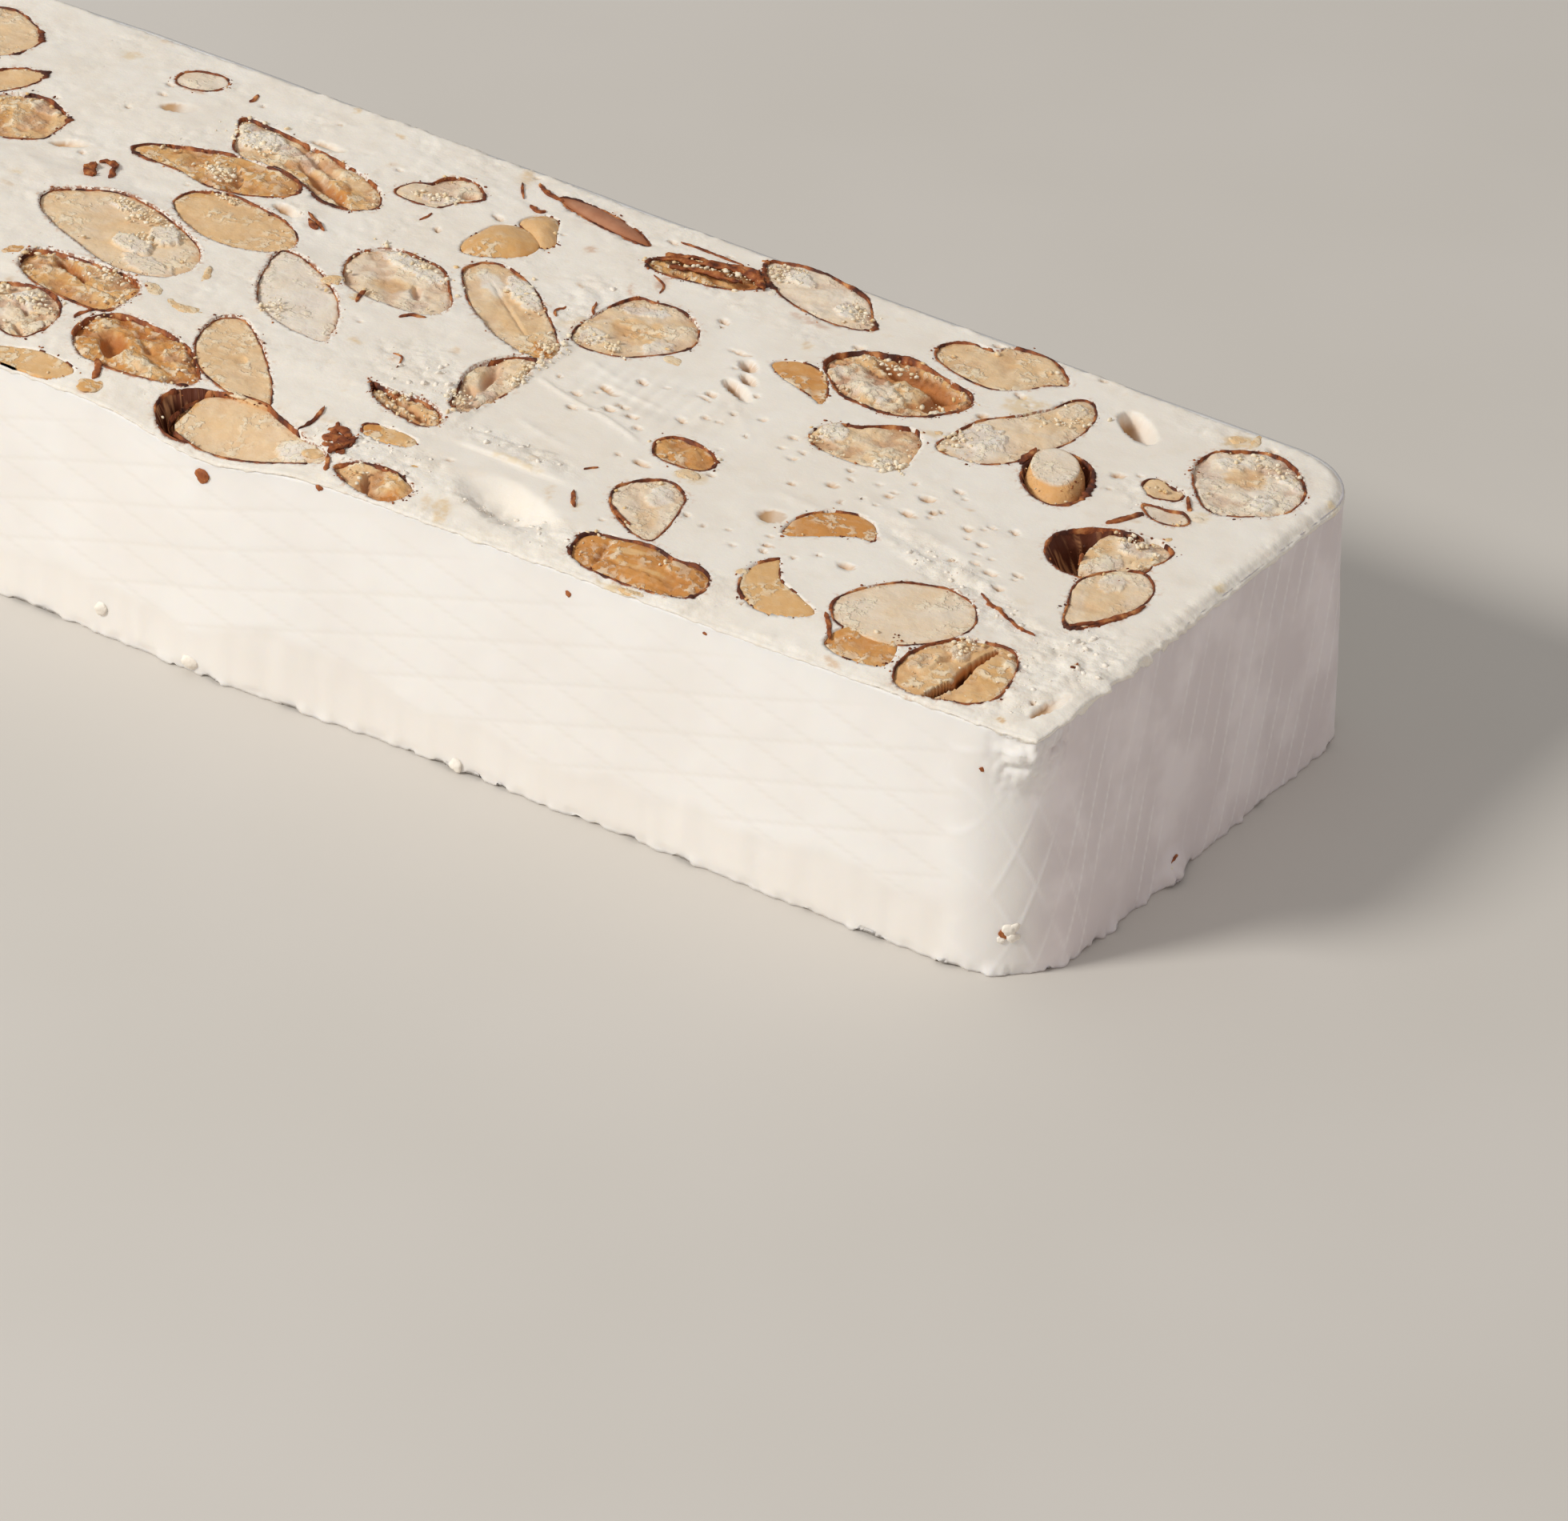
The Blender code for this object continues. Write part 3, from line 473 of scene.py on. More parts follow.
# ovals, strength, and warmth from yellow (0) to red-brown (1)
STAINS_AND_SHADE = (
    # the first is painted shade on the steep near-left wall of the big hollow; the next two lie over two
    # hollows and tint them
    (76.6, 23.9, 8, 2.2, -37, 0.85, 0.35), (-64.4, 7.8, 5.4, 1.8, 27, 0.5, 0.3),
    (-39, 25.9, 5.4, 1.2, 0, 0.5, 0.3), (91, 12, 2.6, 0.7, -20, 0.9, 0.7),
    (-47.2, -24.2, 1.6, 1.2, 0, 0.5, 0.4), (11.6, 6.6, 5, 3.4, 60, 0.35, 0.2),
    (64.5, 20.5, 6, 7.5, 60, 0.65, 0.15), (88, 28.5, 4, 5, -50, 0.75, 0.25),
    (93.5, 10.5, 4, 3, 40, 0.45, 0.1), (103.6, 22, 3, 1.8, -60, 0.55, 0),
    (103.2, -1.2, 1.6, 2.6, 0, 0.55, 0), (50.5, -39.2, 6, 1.6, 0, 0.7, 0.15),
    (25, -37, 2.4, 6, 35, 0.6, 0.2), (22.6, -36.4, 1.6, 4, 30, 0.4, 0.2),
    (36.4, 17.8, 1.2, 3.4, 30, 0.7, 0.3), (2.2, 22.8, 3, 2, -50, 0.55, 0.7), (14, 21, 5, 2, -70, 0.5, 0.8),
    (12, 17.4, 4, 1, -60, 0.6, 0.8), (33, 23.4, 9, 1.6, -8, 0.45, 0.8),
    (26.6, -24.6, 9, 1.4, -2, 0.45, 0.1), (33, -28, 5, 0.9, -60, 0.45, 0.3),
    (37.4, -28.8, 3, 1, -60, 0.6, 0.3), (43.5, -15.4, 4.4, 3.2, 0, 0.75, 0.2),
    (60, -29.4, 1.8, 1.6, 0, 0.8, 0.15), (-15, 34, 7, 2.4, -60, 0.55, 0.25),
    (-42.4, 36.2, 2.6, 1.2, -50, 0.7, 0.2), (-33.6, 33.3, 2.4, 1, -20, 0.7, 0.3),
    (-73.2, 37.6, 2.6, 1.4, -20, 0.5, 0.4), (-74.2, 32, 3, 3, -60, 0.5, 0.15),
    (-62, 28.8, 5, 1.6, -5, 0.6, 0.6), (-3, 36.8, 3, 1.4, -50, 0.5, 0.2),
    (-14.8, -37.5, 2.4, 1.4, 60, 0.35, 0.5), (-5.6, -12.6, 2.2, 1.3, -20, 0.75, 0.2),
    (4.8, -7.6, 1.8, 1.6, -70, 0.6, 0.4), (0.4, -13.4, 1, 1.6, 0, 0.5, 0.8),
    (-12, -3.8, 2.4, 2, -50, 0.8, 0.3), (72.5, -3.3, 1.2, 0.9, 0, 0.5, 0.6),
    (27.3, -22.8, 1.6, 2.2, 60, 0.4, 0.2), (3, -28.8, 1.6, 3, 80, 0.35, 0.3),
    (77.6, -38.6, 4, 1.2, -20, 0.55, 0.5), (98.4, -37.9, 1.6, 0.8, -30, 0.9, 0.4),
    (99.7, -25, 0.9, 0.9, 0, 0.95, 0.2), (88.5, 5.6, 1.6, 1, 20, 0.4, 0.5),
    (-30, 26.6, 1.4, 1, 20, 0.35, 0.5), (-64.5, -2.5, 2.4, 1.6, 0, 0.4, 0.1),
    (-63, -5.6, 4, 1.2, 5, 0.35, 0.3), (59.6, 9, 3, 1.8, 20, 0.55, 0.2),
    (6.6, 14.8, 2.4, 0.8, -30, 0.55, 0.6),
)


def oval_reach(oval, x, y):
    """0 at an oval's middle and 1 at its rim."""
    centre_x, centre_y, length, width, turn = oval[:5]
    forth, across = swung(x - centre_x, y - centre_y, -turn)
    return np.hypot(forth / (length / 2), across / (width / 2))


def near_oval(oval, x, y):
    """The numbers of the points that lie in an oval's square."""
    return in_square(x, y, oval[0], oval[1], 0.5 * max(oval[2], oval[3]) * 1.3)


def oval_cover(oval, x, y, full, none, edge):
    """The points near an oval, and its cover there: 1 where its reach is full, 0 where none."""
    rows = near_oval(oval, x, y)
    return rows, smooth(none, full, oval_reach(oval, x[rows], y[rows]) + edge[rows])


def oval_depth(ovals, x, y):
    """The depth of the deepest bowl at each point."""
    depth = np.zeros(len(x))
    for oval in ovals:
        rows = near_oval(oval, x, y)
        bowl = oval[5] * np.sqrt(np.maximum(1.0 - oval_reach(oval, x[rows], y[rows]) ** 2, 0.0))
        depth[rows] = np.maximum(depth[rows], bowl)
    return depth


# level, away from the key light: a hole is steep on the side towards the light and slopes out
# away from it, and shade is painted on its steep wall
AWAY_FROM_LIGHT = (0.84, 0.54)


def hole_map(ovals, x, y):
    """Holes in the nougat: their depth, and the painted shade on their steep wall, from 0 to 1."""
    depth, wall = np.zeros(len(x)), np.zeros(len(x))
    for oval in ovals:
        rows = near_oval(oval, x, y)
        bowl = np.sqrt(np.maximum(1.0 - oval_reach(oval, x[rows], y[rows]) ** 2, 0.0))
        lean = math.radians(oval[4]) - math.atan2(AWAY_FROM_LIGHT[1], AWAY_FROM_LIGHT[0])
        half = math.hypot(math.cos(lean) * oval[2], math.sin(lean) * oval[3]) / 2
        ahead = ((x[rows] - oval[0]) * AWAY_FROM_LIGHT[0] + (y[rows] - oval[1]) * AWAY_FROM_LIGHT[1]) / half
        here = oval[5] * bowl**0.7 * (1.0 - 0.85 * smooth(-0.5, 0.9, ahead))
        depth[rows] = np.maximum(depth[rows], here)
        # small holes get some painted shade all over
        least_shade = 0.12 + 0.50 * smooth(5.0, 3.0, max(oval[2], oval[3]))
        shaded = least_shade + (1.0 - least_shade) * smooth(0.35, -0.45, ahead)
        wall[rows] = np.maximum(wall[rows], smooth(0.15, 0.5, bowl) * shaded)
    return depth, wall


def stain_and_shade_map(x, y):
    """The strength of the strongest of the stains and the painted shade at each point, and its warmth."""
    strength, warmth = np.zeros(len(x)), np.zeros(len(x))
    edge = 0.35 * grain(flat(x, y), 1.1, 61, 2)
    for stain in STAINS_AND_SHADE:
        rows, cover = oval_cover(stain, x, y, 0.45, 1.05, edge)
        here = stain[5] * cover
        stronger = here > strength[rows]
        strength[rows[stronger]], warmth[rows[stronger]] = here[stronger], stain[6]
    return strength, warmth


PORE_COUNT = 150
PORE_ROWS = ((66, -6), (72, -3.6), (45, -1), (26, -8), (55, -22), (84, -12))


def pores():
    """Small oval pores, drawn out along the cut, with a few close together in rows."""
    drawn = random.Random(5)
    made = []
    for _ in range(PORE_COUNT):
        x, y = drawn.uniform(-100, 101), drawn.uniform(-36, 36)
        if drawn.random() < 0.45:
            row = drawn.choice(PORE_ROWS)
            x, y = row[0] + drawn.gauss(0, 7.0), row[1] + drawn.gauss(0, 2.6)
        size = 0.26 + 0.40 * drawn.random() ** 3
        made.append((x, y, size * 3.2, size * 1.3, drawn.gauss(-14, 10), 0.3 + size * 1.3))
    return made


# %% [markdown]
# The middle of the right half was sliced smooth. Near the edges, round the almonds and left
# of a faint upright step the nougat tore and crumbled instead, so the relief there is rougher.
# Puffy lumps with creases between them read as torn nougat; drag marks lie along the cut.

# %% The relief of the cut face
STEP_X = 15.2  # left of here the knife tore the nougat
COMBED = (29, -3, 26, 12, 0)  # an oval in which it left fine, even grooves
# ovals and strength
TORN_PLACES = (
    (82, -18, 36, 7, -24, 0.75), (36, -34.5, 30, 6, -8, 0.8), (24, -22, 20, 5, -5, 0.7),
    (10, -32, 26, 9, 0, 0.8), (5, -14, 22, 12, -30, 0.6), (97, 29, 22, 8, -35, 0.25),
    (85, 29, 16, 6, 0, 0.3), (98, -27, 13, 26, -8, 0.85), (88, 11, 14, 8, -20, 0.5),
    (10, 12, 10, 16, 20, 0.5), (30, 21.5, 24, 5, -8, 0.45), (60, -34, 8, 8, 0, 0.5),
    (-33, 10, 14, 6, -24, 0.5), (-14, -34, 14, 6, 10, 0.6), (-20, 33, 40, 8, -4, 0.35),
    (-60, 20, 30, 10, -20, 0.3),
)


def tornness(x, y):
    """0 where the cut is smooth and 1 where it crumbled."""
    edge = np.minimum(np.minimum(y - NEAR_Y, far_edge(x) - y), HALF - x - 1.0)
    torn = 0.40 * (1.0 - smooth(0.5, 3.5, edge))
    torn = np.maximum(torn, 0.24 * (1.0 - smooth(STEP_X - 0.5, STEP_X + 0.5, x)))
    for place in TORN_PLACES:
        torn = np.maximum(torn, place[5] * smooth(1.25, 0.55, oval_reach(place, x, y)))
    return np.clip(torn + 0.24 * grain(flat(x, y), 7.0, 3), 0.0, 1.0)


def face_waves(x, y):
    """The knife's slow waves, which the kernels and skins follow too."""
    return 0.24 * grain(flat(x, y), 15.0, 1) + 0.07 * grain(flat(x, y), 5.0, 8)


def ridge_height(x, y):
    """Fine raised lines along the knife's way."""
    height = np.zeros(len(x))
    for from_x, from_y, to_x, to_y, half_width, rise in RIDGES:
        run = math.hypot(to_x - from_x, to_y - from_y)
        along = ((x - from_x) * (to_x - from_x) + (y - from_y) * (to_y - from_y)) / run
        aside = ((y - from_y) * (to_x - from_x) - (x - from_x) * (to_y - from_y)) / run
        aside = aside + 0.25 * np.sin(along / 3.1)
        fade = smooth(-1.0, 3.0, along) * smooth(run + 1.0, run - 3.0, along)
        height = height + rise * fade * bell(aside, half_width)
    return height


def face_height(x, y):
    """The cut face without sockets: knife plane, waves, ridges, crumbs and steps."""
    points = flat(x, y)
    torn = tornness(x, y)
    height = cut_height(x, y) + face_waves(x, y) + ridge_height(x, y)
    puffs = billow(points, 2.6, 4)
    height += torn * (0.70 * (puffs - 0.5) + 0.20 * (billow(points, 1.0, 6, 2) - 0.4))
    scrape = smooth(0.2, 0.6, grain(points, 8.0, 13))
    drag = flat(x * 0.15 + y * 0.05, y * 0.9 + 0.35 * x)
    height += (0.010 + 0.020 * scrape) * grain(drag, 1.5, 2, 2)
    height += 0.035 * grain(points, 1.3, 7, 2)
    comb = smooth(1.2, 0.7, oval_reach(COMBED, x, y))
    height += 0.05 * comb * np.sin((x + 0.12 * y) * 2 * math.pi / 2.1 + 2 * grain(points, 9.0, 9))
    height += 0.12 * comb * grain(flat(x * 0.12, y), 2.2, 10)
    step = smooth(STEP_X + 0.3, STEP_X - 0.1, x) * smooth(-24.0, -20.0, y) * smooth(4.0, 0.0, y)
    height += 0.30 * step
    ledge = smooth(-0.3, 0.3, y + 25.0 + 0.04 * (x - 25.0)) * smooth(-19.0, -24.0, y)
    height += 0.45 * ledge * bell(x - 25.5, 7.0)
    reach = oval_reach(TROUGH, x, y)
    trough = TROUGH[5] * smooth(1.05, 0.15, reach + 0.1 * grain(points, 3.0, 12))
    return height - trough, torn * (1.0 - 0.8 * smooth(1.0, 0.7, reach))


# %% [markdown]
# ## Shader maths
# Materials here are sums and products of noises, so one small class wraps a socket and lets
# Python's own operators add the Math nodes. Any other node comes from its one method `node`.

# %% A socket that Python can reckon with
class Wire:
    def __init__(self, tree, socket=None):
        self.tree = tree
        self.socket = socket

    def node(self, kind, settings=None, inputs=None, output=0):
        made = self.tree.nodes.new(kind)
        for key, value in (settings or {}).items():
            if key == "stops":
                ramp = made.color_ramp
                while len(ramp.elements) < len(value):
                    ramp.elements.new(0.5)
                for element, (position, colour) in zip(ramp.elements, value):
                    element.position, element.color = position, colour
            else:
                setattr(made, key, value)
        for key, value in (inputs or {}).items():
            if isinstance(value, Wire):
                self.tree.links.new(value.socket, made.inputs[key])
            else:
                made.inputs[key].default_value = value
        return Wire(self.tree, made.outputs[output])

    def maths(self, operation, *values):
        return self.node("ShaderNodeMath", {"operation": operation}, dict(enumerate(values)))

    def __add__(self, other):
        return self.maths("ADD", self, other)

    def __sub__(self, other):
        return self.maths("SUBTRACT", self, other)

    def __rsub__(self, other):
        return self.maths("SUBTRACT", other, self)

    def __mul__(self, other):
        return self.maths("MULTIPLY", self, other)

    __radd__, __rmul__ = __add__, __mul__

    def largest(self, other):
        return self.maths("MAXIMUM", self, other)

    def step(self, low, high):
        """A soft step from 0 at low to 1 at high, which may be the smaller one."""
        inputs = {0: self, 1: low, 2: high, 3: 0.0, 4: 1.0}
        return self.node("ShaderNodeMapRange", {"interpolation_type": "SMOOTHSTEP"}, inputs)

    def mix(self, first, second):
        """Blends two colours: first where this wire is 0, second where it is 1."""
        inputs = {0: self, 6: first, 7: second}
        return self.node("ShaderNodeMix", {"data_type": "RGBA"}, inputs, output=2)


# %% Short forms for what every finish uses
def new_finish(name, shine, **constants):
    """A material, a wire to draw nodes from, and its Principled shader."""
    made = bpy.data.materials.new(name)
    made.use_nodes = True
    shader = made.node_tree.nodes["Principled BSDF"]
    shader.inputs["Specular IOR Level"].default_value = shine
    for key, value in constants.items():
        shader.inputs[key.replace("_", " ")].default_value = value
    return made, Wire(made.node_tree), shader


def lumps(draw, size, detail, seed):
    """Noise from 0 to 1 on the object's own coordinates. size is the lumps' width in mm."""
    place = draw.node("ShaderNodeTexCoord", output=3)
    scale = (1.0 / (size * MM),) * 3
    moved = draw.node("ShaderNodeMapping", None, {0: place, 1: (seed,) * 3, 3: scale})
    return draw.node("ShaderNodeTexNoise", None, {"Vector": moved, "Scale": 1.0, "Detail": detail})


def painted(draw, name):
    """A number that the mesh carries at each point."""
    return draw.node("ShaderNodeAttribute", {"attribute_name": name}, output=2)


def relief(draw, height, depth):
    """A bump of that depth in mm, from a height of 0 to 1."""
    return draw.node("ShaderNodeBump", None, {"Strength": 1.0, "Distance": depth * MM, "Height": height})


def connect(shader, **links):
    for key, wire in links.items():
        wire.tree.links.new(wire.socket, shader.inputs[key.replace("_", " ")])


def colour(red, green, blue):
    """A colour as a painter reads it off a swatch, 0 to 255, in the linear light of a shader."""
    def linear(value):
        share = value / 255.0
        return share / 12.92 if share <= 0.04045 else ((share + 0.055) / 1.055) ** 2.4
    return (linear(red), linear(green), linear(blue), 1.0)


# %% [markdown]
# ## The finish of the nougat
# Nougat is beaten egg white and honey: near white, slightly cream, and light goes a little way
# into it. Subsurface scattering gives that soft look. The cut face has fine crumbs, stains of
# crushed nut, and a reddish dust of crumbled skin beside each almond, with painted shade on the
# steep walls of its holes and pores. On the moulded sides the low band has painted shade, and
# the right end has painted shade and a painted pinkish reflection.

# %% Nougat, cut and moulded
# how far red, green and blue light go into the food, as shares of the greatest depth
NOUGAT_GLOW, KERNEL_GLOW = (1.0, 0.85, 0.65), (1.0, 0.7, 0.4)


def glow(weight, depth, shares):
    """The settings by which light goes into a food, to a depth in mm."""
    return {"Subsurface_Weight": weight, "Subsurface_Scale": depth * MM, "Subsurface_Radius": shares}


def cut_nougat():
    made, draw, shader = new_finish("nougat_cut", 0.30, **glow(0.25, 1.0, NOUGAT_GLOW))
    torn, near = painted(draw, "torn"), painted(draw, "rim")
    stain, warmth = painted(draw, "stain"), painted(draw, "warmth")
    slow, fine = lumps(draw, 9.0, 3, 1), lumps(draw, 0.9, 5, 2)
    crumb = lumps(draw, 0.35, 4, 3)
    tint = slow.step(0.30, 0.70).mix(colour(246, 237, 225), colour(251, 243, 233))
    tint = (torn * fine.step(0.45, 0.75) * 0.5).mix(tint, colour(240, 227, 206))
    mottle = lumps(draw, 4.5, 4, 8).step(0.48, 0.72)
    tint = (mottle * 0.40).mix(tint, colour(238, 227, 212))
    blotch = lumps(draw, 2.2, 3, 7).step(0.64, 0.76) * lumps(draw, 17.0, 1, 4).step(0.42, 0.62)
    tint = (blotch * 0.30).mix(tint, colour(236, 215, 184))
    # painted shade on the steep walls of holes and pores
    tint = (painted(draw, "hole") * 0.90).mix(tint, colour(196, 150, 98))
    # stains of crushed nut, and painted shade on the wall of the big hollow
    stain_and_shade_colour = warmth.mix(colour(236, 208, 150), colour(186, 112, 74))
    tint = (stain * fine.step(0.25, 0.60)).mix(tint, stain_and_shade_colour)
    dust = near.step(1.5, 0.0) * lumps(draw, 0.8, 4, 5).step(0.52, 0.68)
    tint = (dust * 0.55).mix(tint, colour(206, 150, 108))
    close = near.step(0.40, 0.0) * lumps(draw, 0.5, 3, 6).step(0.46, 0.58)
    tint = (close * 0.85).mix(tint, colour(150, 84, 48))
    rough = 0.55 + 0.20 * torn * fine
    bump = relief(draw, fine * (0.2 + 0.6 * torn) + crumb * (0.10 + 0.55 * torn), 0.14)
    connect(shader, Base_Color=tint, Roughness=rough, Normal=bump)
    return made


def moulded_nougat():
    made, draw, shader = new_finish("nougat_moulded", 0.40, **glow(0.35, 1.5, NOUGAT_GLOW))
    lines, band = painted(draw, "lattice"), painted(draw, "band")
    slow, fine = lumps(draw, 12.0, 3, 1), lumps(draw, 0.8, 4, 2)
    tint = slow.step(0.30, 0.70).mix(colour(243, 238, 233), colour(247, 243, 239))
    # painted shade: the low band of the long sides is a little darker; its upright marks are in the shape
    tint = (band * 0.5).mix(tint, colour(238, 231, 223))
    tint = (lines * 0.28).mix(tint, colour(230, 223, 214))
    # the right end gets painted shade and a painted pinkish reflection, in soft patches
    end_shade_and_reflection = lumps(draw, 8.0, 3, 9).step(0.40, 0.66).mix(colour(229, 219, 219), colour(242, 233, 233))
    tint = painted(draw, "end").mix(tint, end_shade_and_reflection)
    tint = (painted(draw, "ribs") * 0.7).mix(tint, colour(255, 250, 248))
    rough = 0.42 + 0.14 * fine + 0.08 * band
    bump = relief(draw, fine * 0.25 + slow * 0.4, 0.08)
    connect(shader, Base_Color=tint, Roughness=rough, Normal=bump)
    return made


NOUGAT_CUT, NOUGAT_MOULDED = cut_nougat(), moulded_nougat()

# %% [markdown]
# ## The finish of the almonds
# A sliced kernel is dull ivory to tan, paler and powdery in patches, warmer next to its skin.
# Where it broke it is golden brown, with painted shade that makes its hollows, slits and low
# steps darker. The mesh carries the numbers that steer this: tone for the roast, rough for how
# far it broke, inward for the way to the middle, low for the deep places and deep for the dents
# and slits, which both set painted shade, and flank for the outside below the cut, which is
# painted brighter as painted light.

# %% Kernels
BROWNING = (
    (0.28, colour(74, 32, 16)),
    (0.50, colour(122, 60, 28)),
    (0.68, colour(164, 92, 46)),
    (0.90, colour(208, 144, 88)),
)
ROAST = (
    (0.00, colour(242, 232, 219)),
    (0.18, colour(240, 221, 197)),
    (0.35, colour(237, 207, 168)),
    (0.52, colour(233, 195, 147)),
    (0.80, colour(225, 177, 116)),
    (1.00, colour(212, 148, 79)),
)


def kernel_finish():
    made, draw, shader = new_finish("kernel", 0.35, **glow(0.12, 0.8, KERNEL_GLOW))
    tone, inward, broken = painted(draw, "tone"), painted(draw, "inward"), painted(draw, "rough")
    low, flank, crumbly = painted(draw, "low"), painted(draw, "flank"), painted(draw, "crumbly")
    slow, middle = lumps(draw, 4.5, 3, 11), lumps(draw, 1.2, 4, 12)
    fine = lumps(draw, 0.45, 4, 13)
    roast = tone + 0.40 * (slow - 0.5) + (0.14 + 0.36 * broken) * (middle - 0.5)
    tint = draw.node("ShaderNodeValToRGB", {"stops": ROAST}, {0: roast})
    rim = inward.step(0.16, 0.0) * lumps(draw, 1.1, 3, 14).step(0.35, 0.60)
    tint = (rim * 0.45).mix(tint, colour(216, 158, 92))
    powder = lumps(draw, 0.9, 5, 15).step(0.46, 0.58) * (0.12 + 0.88 * crumbly) * (1.0 - 0.6 * low)
    tint = (powder * 0.65).mix(tint, colour(247, 234, 208))
    speck = lumps(draw, 0.6, 3, 16).step(0.66, 0.72) * (0.2 + 0.8 * crumbly)
    tint = (speck * 0.45).mix(tint, colour(190, 120, 62))
    # painted shade: the low broken places, dents and slits are painted darker
    tint = (low * 0.80).mix(tint, colour(176, 102, 44))
    deep = painted(draw, "deep")
    tint = (deep.step(0.02, 0.35) * 0.7).mix(tint, colour(196, 122, 54))
    tint = (deep.step(0.35, 0.95) * 0.95).mix(tint, colour(66, 30, 12))
    # painted light: the flank below the cut is golden like a roasted outside, and painted brighter because
    # little light reaches it in its socket
    tint = (flank * 0.85).mix(tint, colour(236, 176, 104))
    rough = 0.60 + 0.20 * powder - 0.20 * flank.largest(painted(draw, "gloss"))
    bump = relief(draw, fine * (0.15 + 0.5 * broken) + middle * 0.4 + 0.5 * powder, 0.20)
    connect(shader, Base_Color=tint, Roughness=rough, Normal=bump)
    return made


def seed_coat_finish():
    """The papery skin seen flat, where a nut lies under it: a soft pinkish brown."""
    made, draw, shader = new_finish("seed_coat", 0.30)
    slow, fine = lumps(draw, 3.0, 3, 31), lumps(draw, 0.5, 4, 32)
    rim = painted(draw, "inward").step(0.30, 0.02)
    tint = slow.step(0.35, 0.70).mix(colour(176, 118, 87), colour(192, 138, 106))
    tint = (rim * 0.8).mix(tint, colour(160, 92, 50))
    connect(shader, Base_Color=tint, Roughness=0.55 + 0.2 * fine, Normal=relief(draw, fine, 0.08))
    return made


def skin_finish():
    made, draw, shader = new_finish("almond_skin", 0.35)
    slow, fine = lumps(draw, 2.0, 3, 21), lumps(draw, 0.35, 4, 22)
    burn = painted(draw, "burn")
    browning = slow * 0.6 + fine * 0.4 + burn
    tint = draw.node("ShaderNodeValToRGB", {"stops": BROWNING}, {0: browning})
    connect(shader, Base_Color=tint, Roughness=0.50 + 0.25 * fine, Normal=relief(draw, fine, 0.10))
    return made


def pit_finish():
    """The skin that lines a pit: dark, with long pale streaks down its wall."""
    made, draw, shader = new_finish("pit_lining", 0.30)
    streak, depth = painted(draw, "streak"), painted(draw, "depth")
    fine = lumps(draw, 0.5, 4, 22)
    tint = streak.step(0.50, 0.95).mix(colour(96, 46, 24), colour(216, 156, 108))
    tint = (depth.step(0.9, 0.2) * 0.4).mix(tint, colour(150, 84, 42))
    connect(shader, Base_Color=tint, Roughness=0.55 + 0.2 * fine, Normal=relief(draw, streak, 0.15))
    return made


def crumb_finish(name, dark, pale, size):
    made, draw, shader = new_finish(name, 0.30)
    tint = lumps(draw, size, 2, 51).step(0.35, 0.65).mix(colour(*dark), colour(*pale))
    fine = lumps(draw, 0.3, 3, 52)
    connect(shader, Base_Color=tint, Roughness=0.55 + 0.2 * fine, Normal=relief(draw, fine, 0.08))
    return made


KERNEL, SEED_COAT, SKIN, PIT = kernel_finish(), seed_coat_finish(), skin_finish(), pit_finish()
print("finishes:", [finish.name for finish in bpy.data.materials])

# %% [markdown]
# ## Making a mesh and moving its points
# Operators make every grid, ring and ball. Then one array holds the points, a formula moves
# them, and the piece goes into the scene in metres.

# %% Helpers for meshes
def mesh_points(mesh):
    flat_list = np.empty(len(mesh.vertices) * 3, np.float32)
    mesh.vertices.foreach_get("co", flat_list)
    return flat_list.reshape(-1, 3).astype(float)


def set_points(mesh, x, y, z):
    """Moves the mesh's points to places that are given in mm."""
    points = np.column_stack((x, y, z)) * MM
    mesh.vertices.foreach_set("co", np.ascontiguousarray(points, np.float32).ravel())
    mesh.update()


def carry(mesh, **numbers):
    """Stores numbers at each point of the mesh, for its material."""
    for name, values in numbers.items():
        layer = mesh.attributes.new(name, "FLOAT", "POINT")
        at_points = np.broadcast_to(values, len(mesh.vertices))
        layer.data.foreach_set("value", np.ascontiguousarray(at_points, np.float32))


def to_mesh(bm, name):
    bmesh.ops.recalc_face_normals(bm, faces=bm.faces)
    if bm.calc_volume(signed=True) < 0.0:
        bmesh.ops.reverse_faces(bm, faces=bm.faces)
    mesh = bpy.data.meshes.new(name)
    bm.to_mesh(mesh)
    bm.free()
    return mesh


def in_scene(name, data):
    made = bpy.data.objects.new(name, data)
    bpy.context.scene.collection.objects.link(made)
    return made


def add_piece(name, mesh, finish, slot, *nodes):
    """Puts a finished mesh in the scene as a piece of the bar."""
    mesh.materials.append(finish)
    mesh.shade_smooth()
    piece = in_scene(name, mesh)
    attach(piece, "root")
    if nodes:
        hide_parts(*nodes)
    return piece


def circle(bm, count):
    """Makes a circle of unit radius and gives its points and its edges."""
    verts = bmesh.ops.create_circle(bm, segments=count, radius=1.0)["verts"]
    return verts, list({edge for vert in verts for edge in vert.link_edges})


def extruded(bm, edges, count, step):
    """Extrudes a border count times, each time by step in z, and gives the last border."""
    for _ in range(count):
        parts = bmesh.ops.extrude_edge_only(bm, edges=edges)["geom"]
        verts = [part for part in parts if isinstance(part, bmesh.types.BMVert)]
        edges = [part for part in parts if isinstance(part, bmesh.types.BMEdge)]
        bmesh.ops.translate(bm, verts=verts, vec=(0, 0, step))
    return edges


def closed(bm, edges):
    """Closes a border with one face."""
    bmesh.ops.contextual_create(bm, geom=edges)


